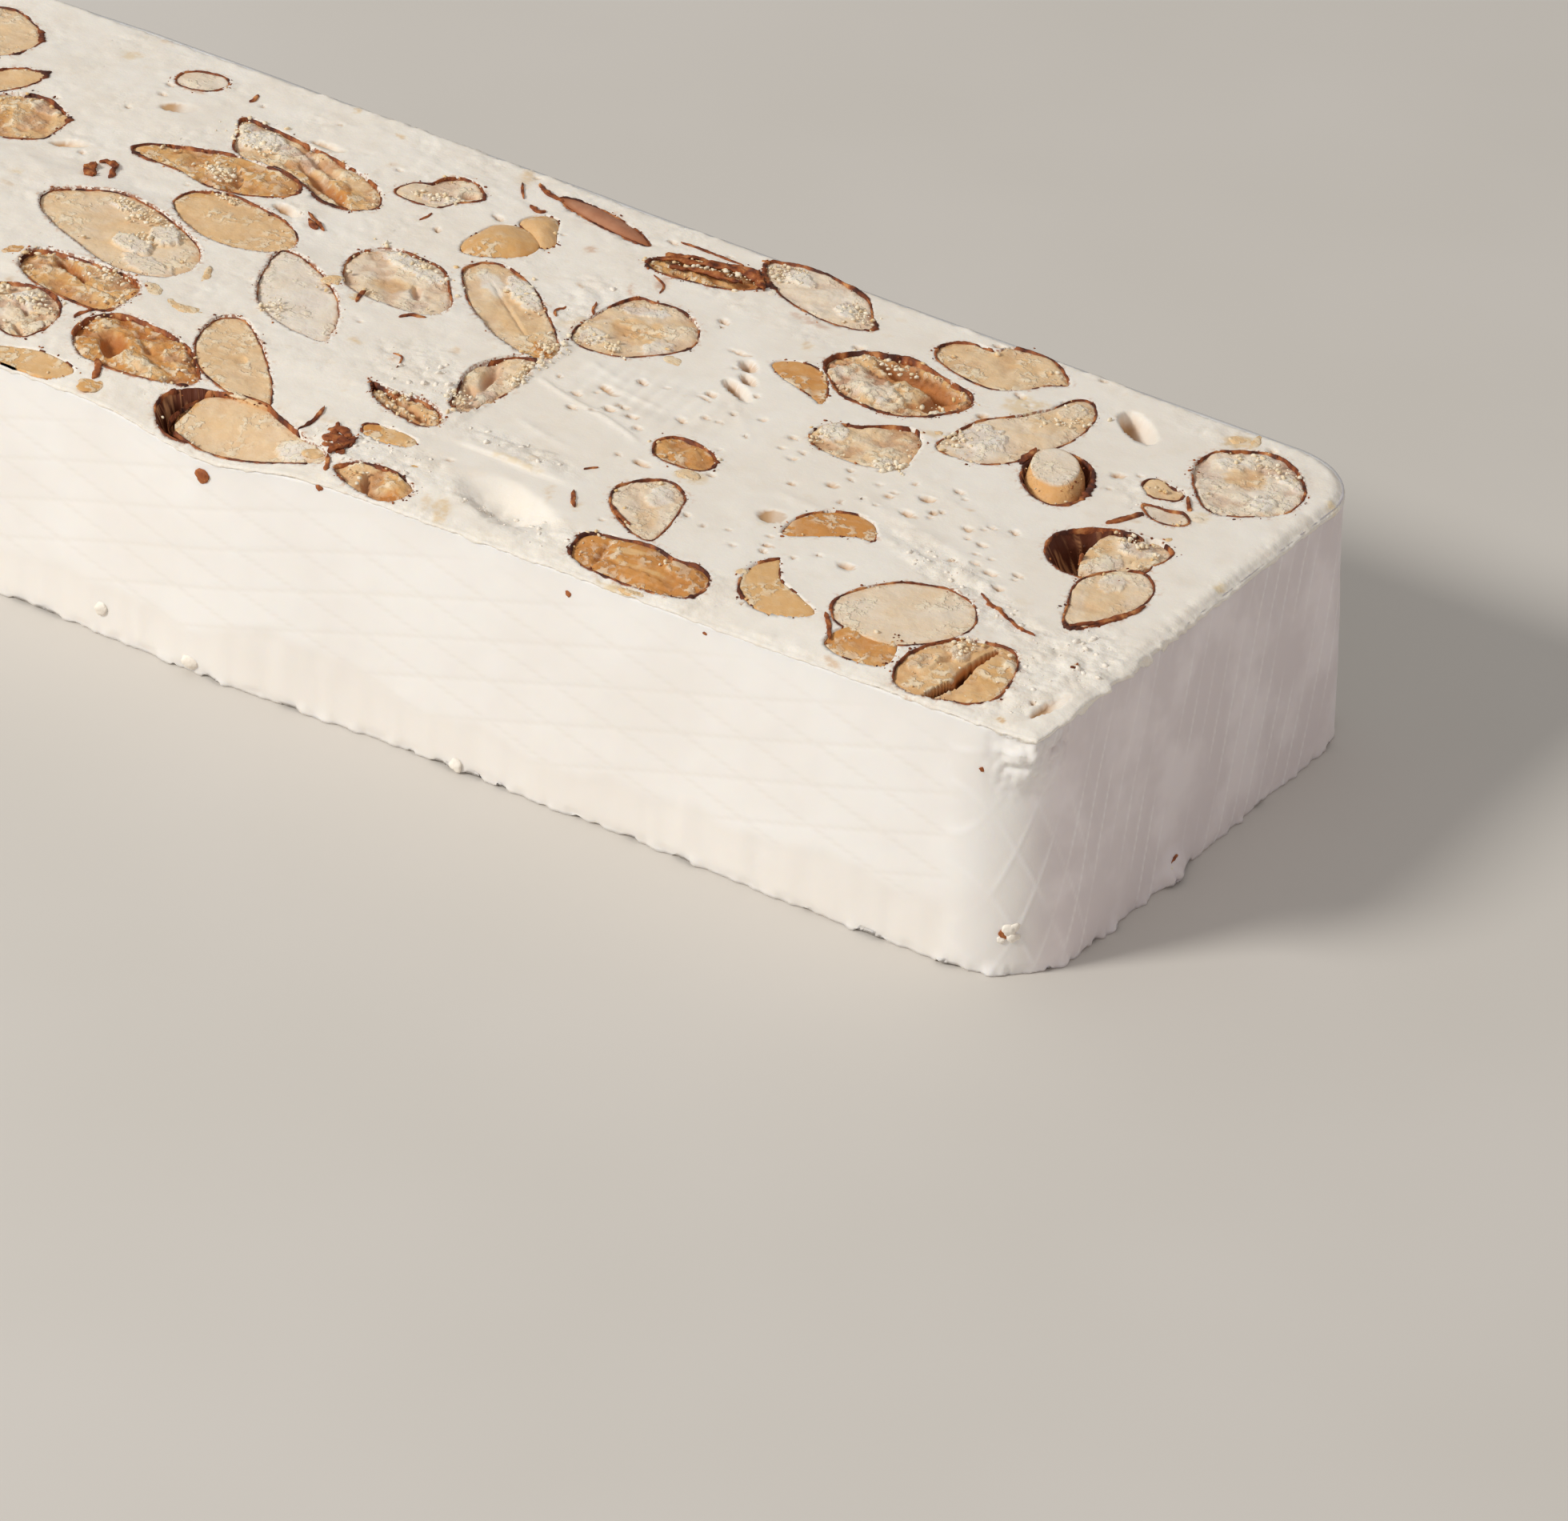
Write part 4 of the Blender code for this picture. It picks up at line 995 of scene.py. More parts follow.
# %% [markdown]
# ## The cut face
# The face is a slab of its own over the moulded sides, because its border really is a torn
# lip that hangs a little over them. A coarse grid is made finer only where nougat shows, and
# finer again where the surface bends most, so that a budget of cells goes where the eye looks.
# Its border is extruded down in rings. The height of a point in this raw mesh is its ring's
# number, so one formula can place every ring.

# %% The slab of cut nougat
FACE_CELL = 1.2
HALVED_CELLS = 12600  # as many as keep the piece under 200,000 triangles
RIM_BAND, BORDER_BAND, SHOWN_RIM = 0.45, 1.5, 0.9
LIP_SHAPE = {1: (0.25, 0.8), 2: (0.65, 1.0), 3: (1.0, 0.3), 4: (1.25, -2.5)}  # fall and reach by ring
LIP_RINGS = 6
SLAB_BOTTOM, SLAB_INSET = 24.0, 1.8
DEEP_RINGS = {LIP_RINGS - 1: SLAB_BOTTOM + 3.0, LIP_RINGS: SLAB_BOTTOM}  # their heights
SOCKET_DEPTH, PIT_DEPTH = 3.2, 6.4
PLAIN_WIDTH = FAR_Y_LEFT - NEAR_Y


def open_hollows(x, y, distance):
    """Depth of the hollows and pores, and the painted shade on their walls, where no almond fills them."""
    clear = (distance > 0.5) | (oval_depth(HOLLOWS, x, y) > 0.0)
    depth, wall = hole_map([*HOLLOWS, *pores()], x, y)
    return depth * clear, wall * clear


def plain_middles(bm):
    return np.array([face.calc_center_median()[:2] for face in bm.faces])


def on_cut(raw):
    """Where points of the plain block lie on the cut, and how far from the nearest rim."""
    x, y = block_points(raw[:, 0], raw[:, 1], np.ones(len(raw)))
    return x, y, nearest_rim(x, y)[0]


def inwards(raw):
    """How far points of the plain block are from its border."""
    return np.minimum(HALF - np.abs(raw[:, 0]), PLAIN_WIDTH / 2 - np.abs(raw[:, 1]))


def bends(bm):
    """How far the face bends inside each cell. Cells at a rim or at the border come first."""
    corners = np.array([vert.co[:2] for vert in bm.verts])
    middles = plain_middles(bm)
    x, y, distance = on_cut(np.concatenate((corners, middles)))
    z = face_height(x, y)[0] - open_hollows(x, y, distance)[0]
    rings = [[vert.index for vert in face.verts] for face in bm.faces]
    around = np.array([z[ring].mean() for ring in rings])
    distance, z = distance[len(corners) :], z[len(corners) :]
    first = (np.abs(distance) < RIM_BAND) | (inwards(middles) < BORDER_BAND)
    return np.where(distance < -RIM_BAND - FACE_CELL / 2, 0.0, np.abs(z - around)) + 9.0 * first


def halve_cells(bm, numbers):
    """Cuts each of those cells into four."""
    bm.faces.ensure_lookup_table()
    edges = {edge for number in numbers.tolist() for edge in bm.faces[number].edges}
    bmesh.ops.subdivide_edges(bm, edges=list(edges), cuts=1, use_grid_fill=True)


def raw_face():
    bm = bmesh.new()
    columns, rows = round(2 * HALF / FACE_CELL), round(PLAIN_WIDTH / FACE_CELL)
    bmesh.ops.create_grid(bm, x_segments=columns, y_segments=rows, size=1.0)
    for vert in bm.verts:
        vert.co = (vert.co.x * HALF, vert.co.y * PLAIN_WIDTH / 2, 0.0)
    shown = np.flatnonzero(on_cut(plain_middles(bm))[2] > -SHOWN_RIM)
    halve_cells(bm, shown)
    bm.verts.index_update()
    halve_cells(bm, np.argsort(-bends(bm), kind="stable")[:HALVED_CELLS])
    closed(bm, extruded(bm, [edge for edge in bm.edges if edge.is_boundary], LIP_RINGS, -1))
    return to_mesh(bm, "nougat_face")


def lip_size(x, y, away):
    """How far the torn lip hangs down and stands out, in mm: most at the right end."""
    points = flat(x, y)
    end = smooth(0.55, 0.95, away[:, 0]) * smooth(NEAR_Y + 1.0, NEAR_Y + 8.0, y)
    ragged = end * (0.30 + 0.70 * smooth(2.0, -14.0, y))
    flaps = np.maximum(billow(points, 4.0, 32, 2) - 0.35, 0.0)
    lumps_out = np.maximum(billow(points, 2.2, 34, 2) - 0.3, 0.0)
    down = 0.25 + 0.30 * billow(points, 2.0, 31, 2) + ragged * (0.3 + 4.4 * flaps)
    out = 0.06 + 0.04 * grain(points, 1.2, 33, 2) + ragged * (0.10 + 1.4 * lumps_out)
    return np.maximum(down, 0.2), out


def push(x, y, rows, away, distance):
    """Moves those points outwards, level."""
    x[rows] += away[rows, 0] * distance
    y[rows] += away[rows, 1] * distance


def make_face():
    mesh = raw_face()
    raw = mesh_points(mesh)
    ring = -np.round(raw[:, 2])
    away = outward(raw[:, 0], raw[:, 1])
    share = np.ones(len(raw))
    for number, level in DEEP_RINGS.items():
        share[ring == number] = level / HEIGHT
    x, y = block_points(raw[:, 0], raw[:, 1], share)
    border = inwards(raw)
    inside = (ring == 0) & (border > 0.6)
    x[inside], y[inside] = slide_to_rims(x[inside], y[inside])
    top, torn = face_height(x, y)
    distance, which = nearest_rim(x, y)
    down, out = lip_size(x, y, away)
    soft = smooth(10.0, 30.0, y) + smooth(0.5, 0.9, away[:, 0]) * smooth(-20.0, 0.0, y)
    rounding = (0.22 + 0.45 * np.minimum(soft, 1.0)) * (1.0 - smooth(0.0, 1.9, border)) ** 2
    deep = np.where(which >= len(ALMONDS), PIT_DEPTH, SOCKET_DEPTH)
    socket = deep * smooth(-0.03, -0.12, distance) * smooth(0.2, 0.9, border)
    burr = 0.06 * bell(distance, 0.5) * (0.4 + torn)
    hollow, wall = open_hollows(x, y, distance)
    z = top - rounding + burr - np.maximum(socket, hollow)
    for number, (fall, reach) in LIP_SHAPE.items():
        rows = ring == number
        z[rows] = (top - rounding)[rows] - down[rows] * fall
        push(x, y, rows, away, out[rows] * reach)
    for number, level in DEEP_RINGS.items():
        rows = ring == number
        z[rows] = level
        push(x, y, rows, away, -SLAB_INSET)
    set_points(mesh, x, y, z)
    bare = 1.6 * (1.0 - SKIN_SHARES[which]) ** 2
    rim, torn = np.maximum(distance, 0.0) + bare, np.where(ring == 0, torn, 1.0)
    stain, warmth = stain_and_shade_map(x, y)
    # the last number carries the painted shade on the walls of holes and pores
    carry(mesh, torn=torn, rim=rim, stain=stain, warmth=warmth, hole=wall * (ring == 0))
    return add_piece("nougat_face", mesh, NOUGAT_CUT, "nougat", "nougat")


nougat_face = make_face()
print("cut face:", len(nougat_face.data.vertices), "points,", len(nougat_face.data.polygons), "faces")

# %% [markdown]
# ## The moulded sides
# The sides kept the mould's skin: waxy, nearly smooth, with the fine crossing lines of the
# sheet that lined it. On the long sides those lines lie almost level and cross into long
# diamonds, and low down they give way to short upright marks. Round the ends the same lines
# stand upright. The wall is a ring of points, extruded upwards level by level.

# %% The wall and the underside
NEAR_STEP, RIGHT_STEP, FAR_STEP, LEFT_STEP = 0.40, 0.35, 0.90, 0.50
WALL_LEVELS = 80
WALL_TOP_DROP = 0.55
WALL_TOP_RINGS = ((0.5, 0.1), (2.0, 0.6), (2.4, 4.0))  # how far inwards and down, under the cut face
UNDERSIDE_RINGS = (0.7, 4.0)  # how far inwards
FOOT_Y, FOOT_OUT = -11.0, 1.5  # a lump of nougat at the foot of the right end
LINE_ALONG, LINE_UP = 8.68, 2.57  # half a diamond, along and upwards
LINE_START_X, LINE_START_Z = -27.6, 26.4


def wall_stations():
    """Points round the plain block, close together on the near side and the right end."""
    near = np.arange(-HALF, HALF, NEAR_STEP)
    right = np.arange(NEAR_Y, FAR_Y_LEFT, RIGHT_STEP)
    far = np.arange(HALF, -HALF, -FAR_STEP)
    left = np.arange(FAR_Y_LEFT, NEAR_Y, -LEFT_STEP)
    x = np.concatenate((near, np.full(len(right), HALF), far, np.full(len(left), -HALF)))
    y = np.concatenate((np.full(len(near), NEAR_Y), right, np.full(len(far), FAR_Y_LEFT), left))
    return x, y


def raw_wall(count):
    """A tube of unit radius: each point's angle tells its station and its height its level."""
    bm = bmesh.new()
    loop = circle(bm, count)[1]
    closed(bm, extruded(bm, loop, WALL_LEVELS + len(WALL_TOP_RINGS), 1))
    closed(bm, extruded(bm, loop, len(UNDERSIDE_RINGS), -1))
    return to_mesh(bm, "nougat_sides")


def line_depth(place, half_width):
    """1 on whole numbers of place, falling to 0 at half_width away from them."""
    return smooth(half_width, 0.0, np.abs((place + 0.5) % 1.0 - 0.5))


def lattice_lines(x, y, z):
    """1 on a crossing line: long diamonds on the long sides, upright ones round the ends."""
    wave = 0.05 * grain(np.column_stack((x, y, z)), 20.0, 41)
    along, up = (x - LINE_START_X) / LINE_ALONG, (z - LINE_START_Z) / LINE_UP
    end = smooth(HALF - 13.0, HALF - 9.0, np.abs(x))
    around = np.where(np.abs(x) > HALF - 11.5, y - NEAR_Y + 14.0, np.abs(x) - HALF + 14.0)
    around = np.where(np.abs(y) < 30.0, y - NEAR_Y + 14.0, around)
    long_lines, end_lines = np.zeros(len(x)), np.zeros(len(x))
    for sign in (1.0, -1.0):
        long_lines = np.maximum(long_lines, line_depth((up + sign * along) / 2.0 + wave, 0.075))
    crossing = smooth(26.0, 20.0, around) * 0.7 + 0.15
    for lean, gap, strength in ((-0.30, 2.9, 1.0), (0.34, 3.6, crossing)):
        line = line_depth((around + lean * z) / gap + 2.0 * wave, 0.080)
        end_lines = np.maximum(end_lines, strength * line)
    patchy = smooth(-0.5, 0.35, grain(np.column_stack((x, y, z * 0.4)), 6.0, 47, 2))
    return (1.0 - end) * long_lines, end * end_lines * patchy, end


def make_sides():
    station_x, station_y = wall_stations()
    count = len(station_x)
    mesh = raw_wall(count)
    raw = mesh_points(mesh)
    angle = np.arctan2(raw[:, 1], raw[:, 0])
    number = np.round((angle - angle[0]) / (2 * math.pi) * count).astype(int) % count
    level = np.round(raw[:, 2])
    plain_x, plain_y = station_x[number], station_y[number]
    away = outward(plain_x, plain_y)
    share = np.clip(level / WALL_LEVELS, 0.0, 1.0)
    x, y = block_points(plain_x, plain_y, share)
    z = share * (cut_height(x, y) - WALL_TOP_DROP)
    points = np.column_stack((x, y, z))
    lines, ribs, end = lattice_lines(x, y, z)
    band_edge = 7.0 + 3.0 * grain(flat(x, y), 12.0, 44, 2)
    # the low band of the long sides, with upright marks in its shape and painted shade in its colour
    band = (1.0 - end) * smooth(band_edge + 1.2, band_edge - 1.0, z)
    marks = grain(np.column_stack((x, y, z * 0.10)), 3.4, 45, 2)
    lines = lines * (1.0 - band) * smooth(30.0, 25.0, z)
    ragged = grain(points, 1.4, 46, 2)
    low = smooth(1.8, 0.0, z)
    out = 0.22 * grain(points, 17.0, 42) + 0.04 * grain(points, 3.0, 43)
    out += band * (0.12 * marks - 0.10) - 0.04 * lines + 0.07 * ribs
    tatters = np.maximum(grain(flat(x, y), 2.6, 48, 2), 0.0) * (1.0 + 1.2 * end)
    out += low * (0.25 * ragged + 0.55 * tatters - 0.20)
    foot = smooth(0.90, 0.99, away[:, 0]) * smooth(5.0, 0.8, z)
    out += FOOT_OUT * foot * bell(y - FOOT_Y, 2.4) * (0.75 + 0.5 * billow(points, 1.6, 50, 2))
    corner = smooth(0.25, 0.6, away[:, 0]) * smooth(-0.1, -0.5, away[:, 1]) * smooth(20.0, 27.0, z)
    flaps = 1.2 * (billow(points, 3.6, 35) - 0.55) + 0.5 * (billow(points, 1.4, 36, 2) - 0.4)
    out += corner * flaps - 0.08 * smooth(HEIGHT - 2.0, HEIGHT - 0.8, z)
    x, y = x + away[:, 0] * out, y + away[:, 1] * out
    z = np.where(level == 0, 0.10 + 0.9 * smooth(0.0, -0.5, grain(flat(x, y), 3.6, 49, 2)), z)
    for past, (inset, drop) in enumerate(WALL_TOP_RINGS, start=1):
        rows = level == WALL_LEVELS + past
        push(x, y, rows, away, -inset)
        z[rows] -= drop
    for past, inset in enumerate(UNDERSIDE_RINGS, start=1):
        rows = level == -past
        push(x, y, rows, away, -inset)
        z[rows] = 0.0
    set_points(mesh, x, y, np.maximum(z, 0.0))
    # end marks the right end, where shade and a pinkish reflection are painted
    carry(mesh, lattice=lines, ribs=ribs, end=smooth(0.6, 0.98, away[:, 0]), band=band)
    return add_piece("nougat_sides", mesh, NOUGAT_MOULDED, "nougat", "nougat")


nougat_sides = make_sides()
print("sides:", len(nougat_sides.data.vertices), "points")

# %% [markdown]
# ## Dents and patches in the nuts
# The broken nuts have clefts and torn-out places, and the sliced ones have warm middles and
# powdery patches. Each is an oval on the face: a dent has a depth, which also sets the painted
# shade in it, and a patch is an amount of roast, below zero where the nut is paler.

# %% Dents and patches
# ovals and depth
SLITS = ((90.7, -29.8, 6.4, 0.9, 84, 2.8), (90.7, -33.2, 6, 1.2, 96, 2.8), (90, -37, 6, 1.3, 72, 2.8))
DENTS = (
    (-14.4, -34.2, 3.6, 8, 8, 0.8), (88, -31, 4.4, 1.2, 70, 0.5), (86.2, -33.2, 3, 1.6, 100, 0.5),
    (-43.2, -17.5, 8, 1.9, -22, 2.2), (-37, -19.9, 7, 0.5, -10, 0.6), (-47, -20, 3, 1.2, 50, 0.9),
    (-27.4, -29.4, 6.4, 3.4, -48, 1.6), (-24, -27.6, 3.4, 1.2, -30, 0.7), (-27, -26, 3, 0.9, 40, 0.6),
    (51, 19.4, 13.5, 3.6, -10, 2.2), (56, 15.8, 4, 5.6, 10, 1.5), (47, 11.8, 1.6, 1.6, 0, 0.6),
    (-33, 17.4, 14, 1.9, -27, 1.1), (-36.5, 21.6, 11, 1.4, -24, 0.7), (-42.8, 13, 6, 1.6, -50, 0.8),
    (-44.6, 8.8, 5, 2, -40, 0.9), (-7.6, 1.8, 4, 1.3, -50, 0.8), (19.6, 9.9, 6, 0.5, 12, 0.4),
    (18.4, 8, 1.8, 0.6, 0, 0.4), (11.4, -9.6, 6.5, 1.6, -70, 0.9), (12, -14, 4, 1.2, -50, 0.7),
    (8.2, -21, 10, 1.2, -20, 1.1), (9.6, -22.8, 7, 0.8, -22, 0.9), (15, 27.2, 10, 1.5, 15, 1.5),
    (20.6, 28.6, 4.6, 1.5, 5, 1.3), (17, 25.2, 9, 0.8, 8, 0.7), (14.6, -37, 4.6, 1, -55, 0.9),
    (17.2, -37.7, 2.6, 0.8, 20, 0.7), (-41.6, -28.4, 4.6, 0.9, -35, 0.8), (-38.6, -32.8, 3, 1, -30, 0.8),
    (-17.4, 25.4, 2.4, 2.2, 0, 0.9), (-19.6, 24, 3, 0.7, 0, 0.5), (64.2, 25.8, 2.4, 1, -30, 0.5),
    (3.6, 4.8, 16, 0.5, -38, 0.25), (92.6, -0.8, 3, 0.6, 80, 0.5), (90.6, 0.6, 2, 0.7, 60, 0.6),
    (97, 19, 4, 0.5, 50, 0.4), (91, 17.6, 4, 0.5, 40, 0.4), (-41, 10, 1.4, 2.6, 70, 1),
    (45, -34.6, 1, 5, 10, 0.5), (-13.4, -23.6, 2.2, 1.4, -50, 0.3),
)
# ovals and change of roast
PATCHES = (
    # the first patch darkens the left end of almond 44 where it curves down: painted shade
    (-13.8, -34.4, 3.6, 8.6, 8, 0.5), (18.6, 9.3, 8, 6, 0, 0.28), (92.6, 21.8, 6, 5.4, -40, 0.34),
    (97.8, 23.6, 1.8, 1.6, 0, -0.2), (-36.6, -9, 5, 6, -20, -0.1), (-42, -7, 14, 6, -18, 0.08),
    (12, -1.6, 5, 4.6, 0, 0.3), (-2, 9, 8, 3, -40, -0.28), (6, 3.6, 14, 6, -40, 0.14),
    (69.6, 20.6, 6, 10, -20, 0.14), (65.4, 9.6, 8, 8, 0, -0.12), (-11, 1.8, 6, 3.6, 10, 0.22),
    (-14, 7, 5, 2.6, 0, 0.1), (47.4, 14, 13, 5.6, -12, -0.16), (51, 19.4, 14, 4.4, -10, 0.3),
    (93.2, -33, 4.6, 10, 12, 0.12), (87, -32, 4, 6, 0, -0.06), (3.6, -35.4, 6, 4, -20, -0.28),
    (-43.6, 8, 6, 6, -30, 0.3), (-45, 12.8, 4, 4.4, -60, -0.5), (94.6, -11, 5, 9, 10, 0.14),
    (88.4, -2, 2.6, 9, 14, 0.2), (-37.6, 19, 10, 3, -24, 0.35), (-28.5, 16.8, 6, 4, -30, 0.3),
    (-46, 23, 10, 4, -12, -0.15), (59, 29, 9, 3, -10, 0.1), (8.4, -27.8, 2.6, 2.6, 0, 0.45),
    (18.6, -38, 3, 2.6, 0, 0.55), (-21, 22.4, 6, 3, 10, 0.1), (44, -24.6, 3, 9, 28, 0.12),
    (-24, -25.6, 12, 2.6, -12, 0.1), (-31, -27, 4, 4, 0, -0.25), (-21, -31.6, 9, 2.6, -5, -0.3),
    (-38, -17.4, 9, 3, -10, -0.25), (-47.5, 21, 5, 4, 0, -0.2), (62, -13.4, 4, 2.2, 20, -0.1),
    (66.6, -14.6, 2, 1.8, 0, 0.15), (47.5, -33, 6, 1.2, 20, -0.4), (50, -35, 10, 1, 0, -0.25),
    (-13.6, -23.8, 4, 3, -50, 0.12),
)


# chips that stand up from a cut: ovals, height and change of roast
CHIPS = (
    (-39.5, -4.9, 5, 3.6, -30, 0.75, -0.3), (-41.5, -8.8, 6.5, 3.4, -10, 0.7, -0.3),
    (-36.4, -12, 9, 3.6, -10, 0.35, -0.15), (-48.4, -1.6, 4, 1.6, 0, 0.3, -0.3),
    (2.6, 9, 9.4, 3.2, -38, 0.35, -0.35), (8.3, 8.2, 2.2, 1.8, 0, 0.5, -0.25),
    (13.2, -0.6, 4.6, 4, -45, 0.25, 0.35), (4.4, -35.4, 7.6, 3.6, -14, 0.5, -0.15),
    (46.2, 14.4, 11, 6, -10, 0.7, -0.3), (57, 14.6, 3.6, 4.6, 20, 0.4, -0.45),
    (53, 11.4, 6, 2.4, -10, 0.3, -0.2), (-44.8, 8.6, 5.6, 3, 0, 0.45, 0.45),
    (-37.8, 12.2, 6.8, 5, -10, 0.2, 0.1), (-51, 13, 6, 3, -20, 0.1, 0.05),
    (-47.5, 22.6, 9, 5, -12, 0.35, -0.35), (-40.4, 21.6, 8, 4, -20, 0.3, -0.3),
    (-31, 17.4, 6, 3, -40, 0.35, 0.3), (-12, 6.8, 11.5, 3, -12, 0.25, -0.4),
    (-7, 0.2, 6, 3.4, -20, 0.12, -0.05), (16.5, 13.8, 6, 2.4, 20, 0.22, -0.3),
    (23, 7, 3.6, 5, 10, 0.2, -0.25), (15.2, 5.2, 3.2, 4, 40, 0.2, -0.25),
    (64.4, 11.5, 5.4, 6, 60, 0.3, -0.28), (69.4, 23, 3, 4.4, 0, 0.25, -0.15),
    (97, 24, 4.4, 2.2, -30, 0.3, -0.3), (90, 23.6, 4, 3, 0, 0.25, -0.2),
    (97.6, 17.2, 3, 4, 20, 0.22, -0.25), (26, 31.6, 6.4, 2.4, -15, 0.28, -0.25),
    (35, 28.2, 4.4, 2.4, -40, 0.28, -0.25), (94, -28.6, 2, 1.6, 0, 0.4, -0.35),
    (88.2, -29.8, 3.6, 2.2, -60, 0.35, -0.35), (86, -33.8, 3.8, 3, 80, 0.3, -0.15),
    (50.4, 2.4, 3.4, 4.2, 0, 0.28, -0.32), (59.2, -0.4, 3, 3.2, 0, 0.3, -0.25),
    (93.4, -7.8, 3, 4.6, 10, 0.2, -0.22), (43.4, -21.4, 3, 5, 30, 0.2, -0.2),
    (91.5, 0.8, 5.4, 3.4, -20, 0.5, -0.22), (90.2, -4.4, 3.4, 5.4, -14, 0.25, -0.18),
    (93.8, -1, 2.8, 4.4, 10, 0.32, 0.05), (14.4, -6.4, 2.2, 6, 4, 0.45, 0.2),
    (13.6, -14.6, 2.6, 5, -10, 0.4, -0.2), (-24, -31, 8, 2.4, 0, 0.35, -0.2),
    (-19.6, -27.6, 5, 2.6, -25, 0.35, -0.35), (-37.4, -21.6, 7, 3, 5, 0.3, -0.1),
    (-45.8, -19.4, 5, 2.8, 10, 0.3, -0.25), (-19.8, 22.4, 5, 2, 10, 0.25, -0.25),
    (-42, -27, 5.6, 2.6, -20, 0.35, -0.3), (49, -36.4, 12, 1.6, 0, 0.25, 0.1),
    (54.6, -33, 5, 2.6, -10, 0.25, -0.1), (17.4, -35.6, 4, 2, -10, 0.35, 0.25),
    (-72.6, 9.8, 5, 4, 0, 0.3, -0.15), (-76.4, 8.4, 4.4, 4, 20, 0.35, 0.2),
    (-73.4, 13.8, 7, 2, -8, 0.3, -0.35),
)


def chip_map(x, y):
    """How far the chips raise each point of a kernel, in mm, and how they change its roast."""
    rise, change = np.zeros(len(x)), np.zeros(len(x))
    edge = 0.30 * grain(flat(x, y), 1.2, 63, 2) + 0.12 * grain(flat(x, y), 0.45, 64)
    for chip in CHIPS:
        rows, cover = oval_cover(chip, x, y, 0.90, 1.02, edge)
        rise[rows] = np.maximum(rise[rows], chip[5] * cover)
        change[rows] += chip[6] * cover
    return rise, change


def patch_map(x, y):
    change = np.zeros(len(x))
    edge = 0.30 * grain(flat(x, y), 1.6, 62, 2)
    for patch in PATCHES:
        rows, cover = oval_cover(patch, x, y, 0.6, 1.05, edge)
        change[rows] += patch[5] * cover
    return change


# %% [markdown]
# ## The kernels
# Each kernel is a square grid pressed into a disc, so it has no pole, and then shaped to the
# almond's outline. Its rim is extruded down into the socket and closed below. A sliced kernel
# gets a fine relief, and a torn one breaks into steps and ridges below the cut.

# %% Kernels, one for each almond
KERNEL_CELL = 0.22
PIT_FLOOR = {"round": 4.6, "dark": 4.8, "edge": 4.4}
DOMED = {12: 0.9, 22: 0.7, 13: 0.5}  # whole nuts, and how far they bulge, in mm
COATED = 13  # the nut that kept all its skin
RING_SIZES = np.array((1.0, 1.0, 1.0, 0.96, 0.80, 0.45))  # of a kernel's rings, from the cut down
LOOSE_NUT, LOOSE_SIZES = 21, np.array((1.0, 1.0, 1.0, 0.98, 0.90, 0.55))
LOOSE_SPREAD = np.array((0.0, 0.12, 0.75, 1.0, 0.85, 0.5))  # how far each ring fills its pit
EDGE_NUT, EDGE_NUT_SIZE, EDGE_NUT_SHIFT = 44, 0.97, (0.25, 0.2)


def raw_disc(nut, rings, name):
    """A square grid with a few rings below its border, as fine as that nut needs."""
    bm = bmesh.new()
    columns, rows = max(round(nut.length / KERNEL_CELL), 10), max(round(nut.width / KERNEL_CELL), 8)
    bmesh.ops.create_grid(bm, x_segments=columns, y_segments=rows, size=1.0)
    closed(bm, extruded(bm, [edge for edge in bm.edges if edge.is_boundary], rings, -1))
    return to_mesh(bm, name)


def pressed(raw):
    """A square's points pressed into a disc: their places, how far out, and their rings."""
    along = raw[:, 0] * np.sqrt(1.0 - raw[:, 1] ** 2 / 2)
    side = raw[:, 1] * np.sqrt(1.0 - raw[:, 0] ** 2 / 2)
    return along, side, np.hypot(along, side), np.round(-raw[:, 2]).astype(int)


def broken_relief(x, y, torn, seed):
    """The top of a kernel, in mm from the cut: fine when sliced, steps and ridges when torn."""
    points = flat(x, y)
    chunk = grain(points, 3.2, seed) + 0.5 * grain(points, 1.4, seed + 1)
    steps = np.round(chunk * 3.0 + 0.2 * grain(points, 0.7, seed + 3)) / 3.0
    broken = 0.45 * chunk + 0.55 * steps
    ridges = billow(points, 1.3, seed + 2, 2) - 0.4
    height = torn * (0.75 * (broken - 0.45) + 0.22 * ridges)
    height += (1.0 - torn) * (0.10 * chunk + 0.05 * ridges)
    # the second number marks the lowest steps of a torn kernel, where shade is painted
    return height, smooth(-0.15, -0.8, broken - 0.3) * torn


def crumb_cover(x, y, reach, torn, seed):
    """Where a kernel's cut crumbled, from 0 to 1: in patches, most near the rim."""
    cover = grain(flat(x, y), 4.2, seed, 2) + 0.45 * torn + 0.35 * smooth(0.55, 1.0, reach)
    return smooth(0.05, 0.55, cover)


